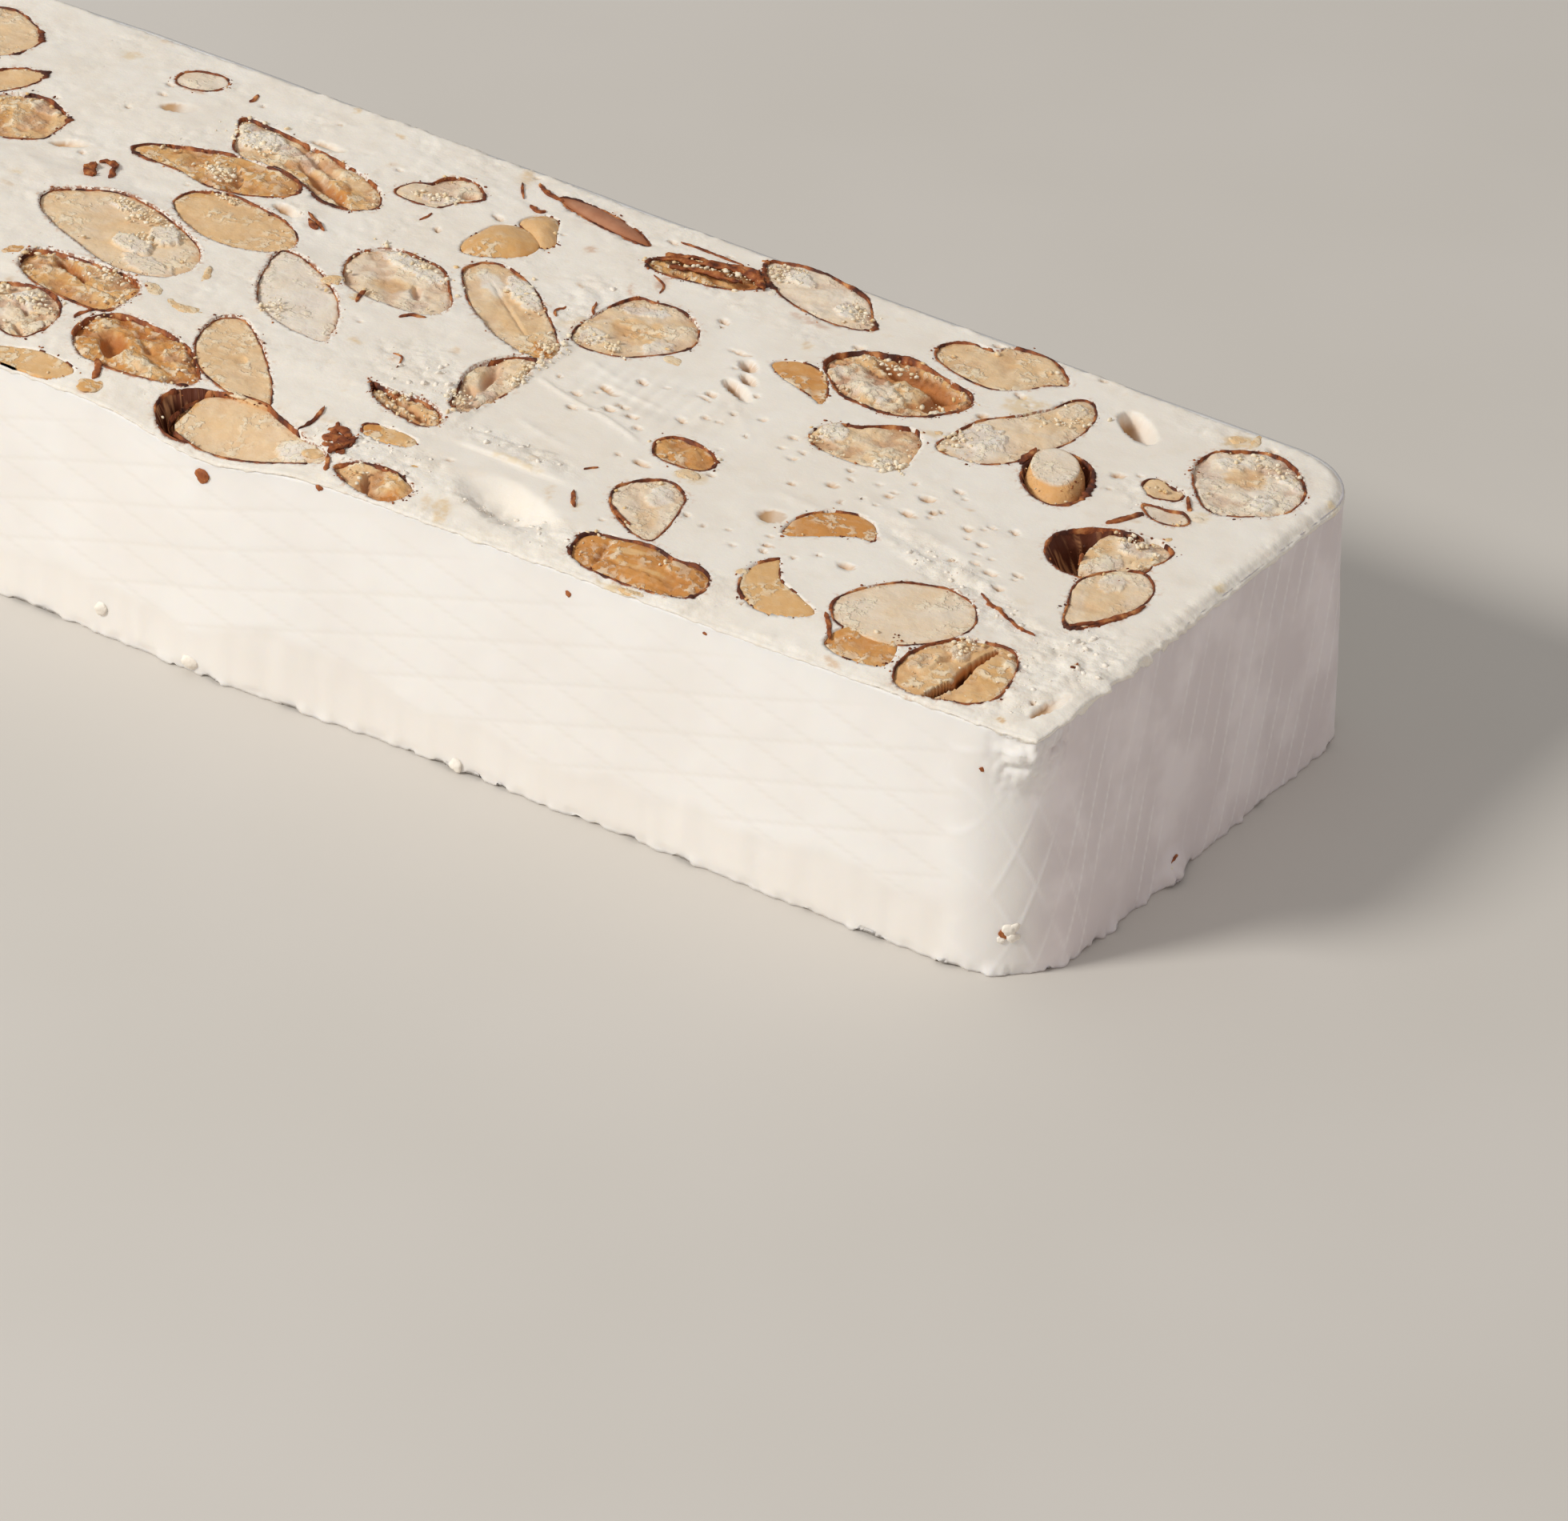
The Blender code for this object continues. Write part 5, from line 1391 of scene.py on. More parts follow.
def make_kernel(index):
    number, nut = SOCKETS[index], NUTS[index]
    mesh = raw_disc(nut, len(RING_SIZES) - 1, "kernel")
    along, side, reach, ring = pressed(mesh_points(mesh))
    loose = number == LOOSE_NUT
    size = (LOOSE_SIZES if loose else RING_SIZES)[ring]
    x, y = almond_points(index, along * size, side * size, -0.05 if loose else -0.08)
    if loose:
        body_x, body_y = almond_points(SOCKETS.index("round"), along * size, side * size, -0.5)
        spread = LOOSE_SPREAD[ring]
        x, y = x + spread * (body_x - x) - 0.25, y + spread * (body_y - y) + 0.3 * (1.0 - spread)
    if number == EDGE_NUT:
        x = nut.x + (x - nut.x) * EDGE_NUT_SIZE + EDGE_NUT_SHIFT[0]
        y = nut.y + (y - nut.y) * EDGE_NUT_SIZE + EDGE_NUT_SHIFT[1]
    y = np.maximum(y, NEAR_Y + 0.25)
    top = cut_height(x, y) + face_waves(x, y) - SINK.get(number, 0.0)
    height, low = broken_relief(x, y, nut.torn, 100 + 5 * index)
    crumbly = crumb_cover(x, y, reach, nut.torn, 400 + index)
    height += crumbly * (0.10 + 0.14 * nut.torn) * (billow(flat(x, y), 0.8, 500 + index, 2) - 0.3)
    slits = oval_depth(SLITS, x, y) * (ring == 0)
    dents = np.maximum(oval_depth(DENTS, x, y) * (ring == 0), slits)
    rise, change = chip_map(x, y)
    height = height - 0.22 * smooth(0.92, 1.0, reach) * (0.3 + 0.7 * nut.torn) - dents + 0.8 * rise
    depth = PIT_FLOOR["round"] if loose else nut.width * 0.42
    falls = np.array((0.0, 0.25, 1.1, 0.45 * depth + 0.6, 0.8 * depth + 0.6, depth + 0.6))
    height += DOMED.get(number, 0.0) * (1.0 - np.minimum(reach, 1.0) ** 2)
    z = np.where(ring == 0, top + height, top - falls[ring] - 0.4 * nut.torn)
    set_points(mesh, x, y, z)
    carry(
        mesh,
        tone=nut.tone + patch_map(x, y) + change,
        # deep and low mark the dents, slits and low broken places, where shade is painted
        deep=np.maximum(smooth(1.0, 3.0, dents), smooth(0.0, 1.6, slits)),
        gloss=number in DOMED,
        rough=nut.torn,
        crumbly=np.maximum(crumbly, smooth(0.1, 0.3, rise) * smooth(0.05, -0.1, change)),
        inward=np.where(ring == 0, 1.0 - reach, 0.0),
        low=np.maximum(low, smooth(0.15, 1.1, dents)) * (ring == 0),
        # the flank is painted brighter, as painted light
        flank=ring > (0 if loose else 1),
    )
    finish, slot = KERNEL, "almond_ivory" if nut.tone < 0.4 else "almond_tan"
    if nut.tone >= 0.7:
        slot = "almond_roasted"
    if number == COATED:
        finish, slot = SEED_COAT, "almond_skin"
    return add_piece(f"kernel_{number:02d}", mesh, finish, slot, f"almond_{number:02d}")


kernels = [make_kernel(index) for index in range(len(ALMONDS))]
print("kernels:", len(kernels), "with", sum(len(k.data.polygons) for k in kernels), "faces")

# %% [markdown]
# ## The pits
# Where a nut has gone, its skin stayed behind as a dark, streaked lining. Each lining is a disc
# like a kernel's, but bowl-shaped, with streaks that run down its wall. The edge pit's dark
# lining, round the left end of almond 44, also stands in for the shade in the gap there.

# %% Linings of the pits
def buried(owner, x, y):
    """Whether a nut or a later rim covers that point of an almond's rim."""
    under = np.zeros(len(x), bool)
    for index, nut in enumerate(NUTS[: len(ALMONDS)]):
        rows = near_oval((nut.x, nut.y, nut.length, 0.0), x, y)
        rows = rows[(owner[rows] < index) | (owner[rows] >= len(ALMONDS))]
        under[rows] |= almond_distance(index, x[rows], y[rows]) < -0.1
    return under


def make_lining(name):
    index = SOCKETS.index(name)
    mesh = raw_disc(NUTS[index], 2, "lining")
    along, side, reach, ring = pressed(mesh_points(mesh))
    grow = np.where(ring > 0, 0.12, 0.0)
    bulge = 1.0 - 0.12 * smooth(0.4, 0.9, reach) * smooth(1.0, 0.95, reach)
    x, y = almond_points(index, along * bulge, side * bulge, grow)
    y = np.maximum(y, NEAR_Y + 0.35)
    around = np.arctan2(side, along)
    depth = PIT_FLOOR[name] * (1.0 - np.minimum(reach, 1.0) ** 4) ** 0.6
    ribs = np.column_stack((np.cos(around) * 5.0, np.sin(around) * 5.0, 0.15 * depth))
    streak = 0.5 + 0.8 * grain(ribs, 0.75, 71, 2)
    z = cut_height(x, y) + face_waves(x, y) + 0.03 - depth + 0.12 * streak * (depth > 0.3)
    z = z - np.choose(ring, (0.0, 0.02, PIT_FLOOR[name] + 0.5))
    z = z - 1.4 * buried(np.full(len(x), index), x, y) * (reach > 0.8)
    set_points(mesh, x, y, z)
    carry(mesh, streak=streak * (ring == 0), depth=np.minimum(reach, 1.0))
    return add_piece(f"lining_{name}", mesh, PIT, "almond_skin")


for pit in PITS:
    make_lining(pit)

# %% [markdown]
# ## The skins
# The skin is the brown line round every section: papery, a fraction of a millimetre thick,
# uneven, and gone in places. It is one closed ring for each almond: a circle extruded into
# four loops and bridged, with each loop placed along the almond's outline.

# %% Skin rings, joined in one piece
SKIN_STEP = 0.16
RING_GAP = 10.0  # keeps the raw rings apart by height, so that each point tells its almond
# ovals and change of the skin's width in mm
SKIN_PLACES = (
    (80.6, 9, 3.6, 7, 20, 0.9), (79.2, 4.6, 4, 3, 0, 0.5), (79.4, 12.6, 4, 3, 40, 0.5),
    (71.2, 10.6, 2.4, 5, 10, 0.5), (98, -13, 3, 7, -15, 0.6), (94.7, -18.4, 3, 2.4, 0, 0.8),
    (42, -34.6, 2.6, 5, 0, 0.7), (58.6, -35, 2.4, 6, 0, 0.35), (71, -29.6, 3, 5, 30, 0.35),
    (61, -26, 2.6, 4, 10, 0.4), (62, -33.4, 3, 2.4, 0, 0.35), (21.2, 32.6, 3, 3, 0, 0.6),
    (24.2, 27.8, 3, 3, -30, 0.8), (34, 33, 6, 2, -20, 0.5), (40, 26.4, 2, 4, 0, 0.5),
    (10.4, 24.4, 3, 3, 0, 0.7), (22, 30, 5, 3, 0, 0.6), (45.5, 21.6, 9, 2.4, 10, 0.5),
    (57.8, 13, 4, 6, 0, 0.6), (49, 9.8, 9, 2.4, 0, 0.5), (14.2, -2.8, 3, 3, 0, 0.5),
    (15.6, -14, 2, 10, 0, 0.2), (-30, 13.7, 9, 2, -8, 0.7), (-35, 14.4, 3, 3, 0, 0.5),
    (-55.2, 10.6, 6, 2.4, -30, 0.8), (-36, -24.2, 8, 2, 0, 0.5), (-32.6, -22, 2, 5, 0, 0.5),
    (-30.4, -28, 2.6, 4, 30, 0.4), (-4.6, -28.6, 2.4, 3, 0, 0.3), (-14.4, -34, 3, 7, 20, 0.5),
    (8, -36, 3, 3, 0, 0.3), (2.6, -19.2, 3, 2, -5, 0.8), (-15.6, 25.2, 2, 4, 20, 0.4),
    (25.6, 8.6, 1.6, 3, 0, 0.3), (43.6, -11.6, 2, 3.4, 0, 0.5), (40.2, -18.8, 4, 2.4, 45, 0.3),
    (-3.4, -0.6, 2.4, 7, 10, 0.5), (-59.4, 31.4, 1.6, 3.6, 0, 0.4), (-6, 32.2, 6, 2, -10, 0.3),
    (4.6, 28.2, 6, 2, -20, 0.3), (88, 9.2, 2.4, 2.4, -30, 0.4), (-86.6, 29.2, 3, 4, 30, 0.9),
    (-85.8, 23.6, 2.6, 3, 0, 0.6), (-79, 20.6, 3, 2, 0, 0.9), (-68.6, 12.9, 2.4, 2, 0, 0.7),
)
# ovals over the stretches of rim that lost their skin
BARE_RIMS = (
    (38.4, 9.6, 7, 2.2, -28), (36, 13, 3, 3, 0), (57, -0.8, 12, 4, 0), (61, 3.6, 3, 7, 0),
    (65.6, 6, 3.4, 2.4, 0), (66.2, 20.8, 3, 4, 0), (61.4, -19.2, 8, 3, 20), (68.4, -31.6, 6, 4, 30),
    (12.4, 9.6, 2.6, 5, 0), (87.2, -1, 3, 5, 0), (88.2, -6.6, 3.4, 4, 0), (99.4, 15.4, 3, 3.4, 0),
    (87, 20, 2.6, 3, 0), (54.8, 31.4, 2.4, 3, 0), (61.4, 23.4, 3.4, 3, 0), (-44, 17.7, 5, 2.4, 0),
    (-47, 9.3, 4, 2.2, 0), (-2.6, -1.9, 2.6, 2.6, 0), (-48.4, -20.8, 4, 3.4, 30), (7.4, -35.6, 3.4, 4, 0),
    (4.4, -33.6, 5, 2.6, -20), (-31, -32.6, 6, 3.4, -30), (88, -38.8, 7, 2.6, 0), (19.6, -36.4, 3, 5, 0),
    (16.6, -38.8, 8, 2, 0), (9.4, -9.6, 2.4, 8, -20), (-13.2, -34.4, 3.6, 8.4, 8),
)


def raw_ring(bm, count, height):
    verts, first = circle(bm, count)
    bmesh.ops.translate(bm, verts=verts, vec=(0, 0, height))
    bmesh.ops.bridge_loops(bm, edges=first + extruded(bm, first, 3, 1))


def make_skins():
    bm = bmesh.new()
    owners = np.flatnonzero(SKIN_SHARES > 0.0).tolist()
    for index in owners:
        around = math.pi * (NUTS[index].length + NUTS[index].width) / 2
        raw_ring(bm, max(round(around / SKIN_STEP), 40), RING_GAP * index)
    mesh = to_mesh(bm, "almond_skins")
    raw = mesh_points(mesh)
    owner = ((raw[:, 2] + 0.5) // RING_GAP).astype(int)
    loop = np.round(raw[:, 2] - RING_GAP * owner).astype(int)
    x, y, out_x, out_y = (np.zeros(len(raw)) for _ in range(4))
    for index in owners:
        rows = owner == index
        x[rows], y[rows] = almond_points(index, raw[rows, 0], raw[rows, 1])
        wide_x, wide_y = almond_points(index, raw[rows, 0], raw[rows, 1], 1.0)
        out_x[rows], out_y[rows] = wide_x - x[rows], wide_y - y[rows]
    key = np.column_stack((x, y, owner * 3.7))
    patchy = 0.8 * grain(key, 4.5, 52, 2) + 0.45 * grain(key, 1.1, 56)
    coverage = smooth(-0.12, 0.10, SKIN_SHARES[owner] * 1.3 - 0.60 + patchy)
    spread = np.clip(0.35 + 0.8 * grain(key, 2.4, 51, 2), 0.0, 1.3)
    extra = np.zeros(len(x))
    for place in SKIN_PLACES:
        rows, cover = oval_cover(place, x, y, 0.6, 1.1, np.zeros(len(x)))
        extra[rows] = np.maximum(extra[rows], place[5] * cover)
    jagged = grain(key, 0.5, 53, 2)
    width = 0.09 + 0.13 * spread**1.5 + 0.45 * extra * (0.7 + 0.6 * jagged)
    coverage = np.maximum(coverage, (extra > 0.2).astype(float))
    for bare in BARE_RIMS:
        rows, cover = oval_cover(bare, x, y, 1.1, 0.7, 0.3 * spread - 0.15)
        coverage[rows] *= cover
    coverage = np.where(buried(owner, x, y), 0.0, coverage)
    width = width * (0.3 + 0.7 * coverage)
    lift = 0.05 + 0.05 * grain(key, 0.8, 54, 2) + 0.10 * extra - 1.6 * (1.0 - coverage)
    outer = np.maximum(width * (0.9 + 0.4 * jagged), 0.05)
    inner = -0.05 - width * (0.55 + 0.4 * jagged)
    shift = np.choose(loop, (width + 0.05, outer, inner, -0.15 - 0.3 * width))
    x, y = x + out_x * shift, np.maximum(y + out_y * shift, NEAR_Y + 0.1)
    z = cut_height(x, y) + face_waves(x, y) + np.choose(loop, (-0.9, lift, lift, -1.8))
    set_points(mesh, x, y, z)
    carry(mesh, burn=0.45 * grain(key, 1.6, 55, 2) + 0.10 * spread - 0.15 * extra)
    return add_piece("almond_skins", mesh, SKIN, "almond_skin")


almond_skins = make_skins()
print("skins:", len(almond_skins.data.polygons), "faces")

# %% [markdown]
# ## Flakes of skin and shavings
# Torn skin lies on the cut as thin brown ribbons. Each is a grid, bent along a smooth path
# through a few points and thickened, then joined with the rest.

# %% Ribbons of skin
# the width, how far the ribbon stands up, and the points of its path, in mm
RIBBONS = (
    (0.42, 0.1, (83.2, -18), (85.6, -19.4), (88.6, -20.8), (91, -21.9), (92.8, -22.4)),
    (0.5, 0.12, (84.8, -19.4), (86.4, -19.6), (87.4, -20.4)),
    (0.9, 0.1, (88, 7.6), (87.2, 5.6), (85.9, 3.2)), (0.5, 0.15, (90, 13.8), (91.2, 12), (92, 11.2)),
    (1.3, 0.12, (4.2, -30.4), (5.8, -29.8), (7.6, -31)),
    (1.5, 0.15, (4.8, -32.2), (6.6, -31.6), (8.8, -32.2)),
    (1.2, 0.15, (6, -33.8), (7.6, -33.2), (9.2, -34.2)),
    (0.8, 0.12, (4.4, -28.8), (5.4, -30.8), (5.8, -33)),
    (0.9, 0.25, (8, -29.8), (8.2, -32.2), (7.4, -34.6)),
    (0.6, 0.15, (7.6, -34.8), (8.6, -36.2), (9.4, -37.6)),
    (0.5, 0.12, (0.8, -26.6), (1.6, -29), (1.4, -32.2)),
    (0.7, 0.15, (-12.6, 33.2), (-10.6, 31.8), (-7.6, 31.2)),
    (0.35, 0.12, (-14.4, 32.1), (-13.2, 30.4), (-11.8, 28.8)),
    (0.9, 0.1, (-10, 27.8), (-8.6, 27.2), (-7.8, 27.8)), (0.5, 0.15, (35, -26), (36, -27.6), (37.2, -29)),
    (0.5, 0.25, (-29.6, 9.8), (-27.8, 9), (-25.4, 7.4)),
    (0.8, 0.25, (-28.6, 8.8), (-27.4, 7.8), (-26.4, 7.4)),
    (0.9, 0.15, (70.8, 12.8), (70.9, 10.8), (71.2, 8.8)),
    (0.35, 0.1, (9.6, 31), (12, 30.8), (16, 30.6), (19, 30.4)),
    (0.35, 0.1, (10.8, 12.2), (11.4, 10.6), (12.2, 9.6)), (0.35, 0.05, (8.4, 9.4), (8, 7.8), (9, 6.6)),
    (0.6, 0.1, (72, -31.4), (73.6, -33.2), (75.2, -35.4)), (0.6, 0.1, (-2.6, -3), (-4.4, -3.8), (-5, -5)),
    (0.5, 0.1, (-12.2, -1.8), (-11.9, -3.2), (-11.2, -5)),
    (0.6, 0.08, (-54.8, 32.4), (-54.4, 31), (-54.5, 30.2)),
    (0.3, 0.05, (-18, 18.8), (-18.1, 17.8), (-18.4, 16.8)),
    (0.8, 0.12, (94.2, -18.6), (96.9, -15.6), (98.3, -12.8), (98.9, -9.8)),
    (0.5, 0.06, (44.4, -28.6), (42.2, -27.6), (40, -26)),
    (1.6, 0.5, (-58.4, 5.2), (-57.6, 3), (-56.2, 2.2)),
    (0.9, 0.4, (-58.2, 5.8), (-56.4, 6.2), (-55.2, 5.2)), (0.7, 0.3, (-55.8, 5.8), (-54.8, 4), (-54.4, 3)),
    (0.3, 0, (12, 22), (14.4, 20.6), (15.2, 18.6)), (0.3, 0.1, (99.6, -24.6), (99.8, -25.4), (99.4, -25.8)),
    (0.5, 0.1, (-34.2, -24), (-35.2, -26), (-35, -27.2)),
    (0.9, 0.15, (-26.6, -33.4), (-25.2, -34.8), (-24.6, -36.6)),
    (1.1, 0.45, (10, 25.4), (14.5, 27.7), (19, 28.7), (23.4, 28)),
    (1, 0.4, (12.4, 24.6), (16.6, 26), (21.4, 26.6)), (0.9, 0.3, (10.4, 26.6), (12.6, 28), (15, 28.8)),
    (1, 0.5, (21, 29.4), (22.8, 28), (24.6, 26.4)), (0.3, 0.05, (34, -20), (33.4, -20.6), (33, -21.4)),
    (0.25, 0.05, (2.2, -15), (1.2, -12.6), (-0.4, -12.2)),
)
RIBBON_LENGTHWISE, RIBBON_ACROSS, RIBBON_THICKNESS = 28, 4, 0.22


def path_points(points, share):
    """Places along a smooth path that goes from its first point to its last."""
    knots = np.array(points, float)
    places = share * (len(knots) - 1)
    first = np.clip(places.astype(int), 0, len(knots) - 2)
    part = (places - first)[:, None]
    second = first + 1
    before, after = np.maximum(first - 1, 0), np.minimum(second + 1, len(knots) - 1)
    return span(knots[before], knots[first], knots[second], knots[after], part)


def make_ribbons():
    bm = bmesh.new()
    for number in range(len(RIBBONS)):
        made = bmesh.ops.create_grid(bm, x_segments=RIBBON_LENGTHWISE, y_segments=RIBBON_ACROSS, size=1.0)
        bmesh.ops.translate(bm, verts=made["verts"], vec=(0, 0, number))
    raw = np.array([vert.co for vert in bm.verts])
    owner = np.round(raw[:, 2]).astype(int)
    x, y, z = (np.zeros(len(raw)) for _ in range(3))
    for number, (width, stand, *points) in enumerate(RIBBONS):
        rows = np.flatnonzero(owner == number)
        share, across = (raw[rows, 0] + 1.0) / 2.0, raw[rows, 1]
        middle = path_points(points, share)
        ahead = path_points(points, np.minimum(share + 0.02, 1.0))
        ahead = ahead - path_points(points, np.maximum(share - 0.02, 0.0))
        ahead = ahead / np.maximum(np.linalg.norm(ahead, axis=1), 1e-6)[:, None]
        thin = np.sqrt(np.maximum(1.0 - (2.0 * share - 1.0) ** 2, 0.06))
        rag = 1.0 + 0.5 * grain(np.column_stack((middle, 3.0 * across)), 0.7, 81, 2)
        reach = across * width / 2 * thin * rag
        x[rows], y[rows] = middle[:, 0] - ahead[:, 1] * reach, middle[:, 1] + ahead[:, 0] * reach
        rise = stand * (0.5 + grain(np.column_stack((middle, across)), 1.4, 82, 2))
        z[rows] = 0.10 + np.maximum(rise, -0.05) + 0.25 * width * (1.0 - across**2) * thin * 0.3
    surface = face_height(x, y)[0]
    for vert, place in zip(bm.verts, np.column_stack((x, y, surface + z))):
        vert.co = place
    bmesh.ops.solidify(bm, geom=bm.faces[:], thickness=RIBBON_THICKNESS)
    mesh = to_mesh(bm, "skin_flakes")
    points = mesh_points(mesh)
    set_points(mesh, *points.T)
    carry(mesh, burn=0.10 + 0.35 * grain(points, 1.2, 83, 2))
    return add_piece("skin_flakes", mesh, SKIN, "almond_skin")


make_ribbons()

# %% [markdown]
# ## Bits of nut
# Small pieces of kernel lie in the cut face, flush with it. They are balls pressed flat, sunk
# to just above the nougat, and coloured with the kernels' own finish.

# %% Golden bits
BIT_THICKNESS, BIT_RISE = 0.55, 0.10
# ovals and roast
BITS = (
    (17.5, -31.6, 2.3, 1.8, 40, 0.75), (26.2, 6.2, 3.2, 2.8, -50, 0.45), (-29.3, -10, 4.6, 1.5, -62, 0.6),
    (-27, -17.8, 6, 2.6, -4, 0.5), (-32.2, -16.4, 3.6, 2, -30, 0.35), (-51.4, -18.6, 3, 3.6, 10, 0.95),
    (-24.4, -37.2, 3.2, 3.6, 20, 0.9), (-16.8, -2.2, 3, 2.2, -20, 0.55), (42.6, -15.4, 4, 2.6, 5, 0.42),
    (60, -29.5, 1.4, 1.8, 0, 0.5), (97.6, 23.8, 1.6, 2, 30, 0.4), (87.6, 29, 2.2, 2.6, -60, 0.45),
    (89.4, 29.4, 1.4, 3, 10, 0.5), (93.2, 4.4, 1, 1.2, 0, 0.55), (6, -35.2, 2.6, 2, 20, 0.55),
    (52, -38.9, 3.4, 1.4, 0, 0.6), (93.5, 10.2, 2.2, 1.4, 30, 0.1), (25.6, 26.6, 1.6, 1.8, 30, 0),
    (59.8, 9.4, 1.4, 1.2, 0, 0.5), (-12, -4.6, 1.4, 1.4, 0, 0.6), (-10.4, -29.6, 4.6, 1, -4, 0.35),
    (-37.6, -30.8, 2, 2, 0, 0.15), (-39.4, -27.8, 2.2, 1.8, 0, 0.25),
)


def ball_cluster(places, name, detail):
    """Joins one deformed ball for each row of (x, y, rise, length, width, height, turn), in mm."""
    bm = bmesh.new()
    bmesh.ops.create_icosphere(bm, subdivisions=detail, radius=1.0)
    ball = to_mesh(bm, "ball")
    unit = mesh_points(ball)
    bm = bmesh.new()
    for _ in places:
        bm.from_mesh(ball)
    mesh = to_mesh(bm, name)
    number = np.repeat(np.arange(len(places)), len(unit))
    spread = np.array(places, float)[number]
    shape = np.tile(unit, (len(places), 1))
    key = shape + number[:, None] * 7.3
    shape = shape * (1.0 + 0.45 * grain(key, 1.1, 91) + 0.20 * grain(key, 0.5, 92))[:, None]
    forth, across, rise = (shape * spread[:, 3:6] / 2).T
    x, y = swung(forth, across, spread[:, 6])
    set_points(mesh, spread[:, 0] + x, spread[:, 1] + y, spread[:, 2] + rise)
    return mesh, number


def make_bits():
    x, y, length, width, turn, roast = np.array(BITS).T
    middle = face_height(x, y)[0] + BIT_RISE - BIT_THICKNESS / 2
    thickness = np.full(len(x), BIT_THICKNESS)
    places = np.column_stack((x, y, middle, length, width, thickness, turn))
    mesh, number = ball_cluster(places, "nut_bits", 3)
    carry(mesh, tone=roast[number], rough=0.5, inward=0.5, crumbly=0.7)
    return add_piece("nut_bits", mesh, KERNEL, "almond_tan")


make_bits()

# %% [markdown]
# ## Crumbs
# The knife left three kinds of crumbs: white ones of nougat along the torn places and edges,
# pale ones of kernel on and beside the broken nuts, and brown ones of skin along the rims.
# Each kind is one joined piece of small, uneven balls.

# %% Scattered crumbs
def crumb_piece(name, spots, sizes, finish, slot, sink, seed):
    """Joined crumbs, most of them small, each sunk by a share of its size."""
    drawn = random.Random(seed)
    heights = face_height(spots[:, 0], spots[:, 1])[0]
    places = []
    for (x, y), height in zip(spots, heights):
        size = sizes[0] + (sizes[1] - sizes[0]) * drawn.random() ** 2.5
        shape = [size * drawn.uniform(*shares) for shares in ((1.0, 1.5), (0.6, 1.0), (0.5, 0.9))]
        places.append((x, y, height + size * (0.5 - sink) * 0.7, *shape, drawn.uniform(0, 180)))
    mesh, _ = ball_cluster(places, name, 1)
    if finish == SKIN:
        carry(mesh, burn=0.05 + 0.45 * grain(mesh_points(mesh) / MM, 1.0, 95))
    return add_piece(name, mesh, finish, slot)


def rim_spots(count, seed, spread, weight):
    """Spots along the nuts' rims, more of them where weight says so."""
    drawn = random.Random(seed)
    spots = []
    while len(spots) < count:
        index = drawn.randrange(len(SOCKETS))
        angle = drawn.uniform(0, 2 * math.pi)
        along, side = np.array([math.cos(angle)]), np.array([math.sin(angle)])
        (x,), (y,) = almond_points(index, along, side, drawn.gauss(*spread))
        patchy = 0.5 + 1.4 * noise.noise((x / 5.0, y / 5.0, seed))
        inside = abs(x) < HALF - 2 and NEAR_Y + 0.6 < y < FAR_Y_LEFT - 1.5
        if drawn.random() < inside * weight(NUTS[index]) * max(patchy, 0.0):
            spots.append((x, y))
    return np.array(spots)


def torn_spots(count, seed):
    """Spots on the torn nougat, clear of the nuts."""
    drawn = random.Random(seed)
    low, high = (-101.0, NEAR_Y + 0.4), (103.0, FAR_Y_LEFT)
    guesses = np.array([tuple(map(drawn.uniform, low, high)) for _ in range(count * 14)])
    x, y = guesses[:, 0], guesses[:, 1]
    keep = y < far_edge(x) - 2.0
    keep &= (x < HALF - 3.0) | (np.abs(y + 4.0) < 26.0)
    keep &= nearest_rim(x, y)[0] > 0.3
    chance = smooth(0.40, 0.95, tornness(x, y))
    keep &= np.array([drawn.random() for _ in range(len(x))]) < chance
    return guesses[keep][:count]


# the heaps that lie on the nuts: ovals and number of crumbs
HEAPS = (
    (-44.5, -2.6, 8, 3, -10, 70), (-48.5, -1.4, 4, 2, 0, 25), (-45.2, 12.4, 7, 3.4, -20, 90),
    (-46.5, 22.2, 10, 5, -15, 110), (-12, 7.2, 12, 3, -12, 60), (3, 9, 9, 3, -40, 60),
    (13.2, -0.6, 4, 4, 0, 50), (14.6, -7, 3, 9, 4, 50), (12.4, -16.4, 4, 3, 0, 30),
    (88.4, -29.8, 6, 3, -60, 40), (70, 20.6, 4, 8, -20, 30), (63, 9, 4, 5, 0, 30),
    (24.4, 31.4, 6, 4, -10, 60), (36.6, 28, 6, 3, -20, 40), (49.8, 1.6, 3, 5, 0, 30),
    (59.8, -0.4, 4, 3, 0, 40), (94, 24.6, 9, 4, -10, 40), (17, 4.6, 7, 3, -10, 40),
    (-20, 22.6, 7, 3, 10, 50), (-18, -12, 6, 3, -40, 30), (-42, -26.6, 7, 3, 0, 40),
    (47, 19.4, 9, 3, -5, 40), (91, 1.4, 6, 2, -10, 30), (-38.4, -17, 9, 3, 0, 40),
    (17.5, 27.2, 9, 1.8, 14, 50), (-41, -6.4, 5, 6, -20, 30), (-40, 7.4, 5, 2, -20, 25),
)


def heap_spots(seed):
    """Spots in the heaps, thickest at each heap's middle."""
    drawn = random.Random(seed)
    spots = []
    for x, y, length, width, turn, count in HEAPS:
        for _ in range(count):
            aside_x, aside_y = swung(drawn.gauss(0, length / 4), drawn.gauss(0, width / 4), turn)
            spots.append((x + aside_x, y + aside_y))
    return np.array(spots)


WHITE_CRUMB = crumb_finish("nougat_crumb", (243, 233, 220), (250, 243, 232), 2.0)
PALE_CRUMB = crumb_finish("kernel_crumb", (232, 196, 140), (246, 234, 212), 1.2)
HEAP_CRUMB = crumb_finish("heaped_crumb", (238, 216, 178), (252, 242, 222), 1.2)

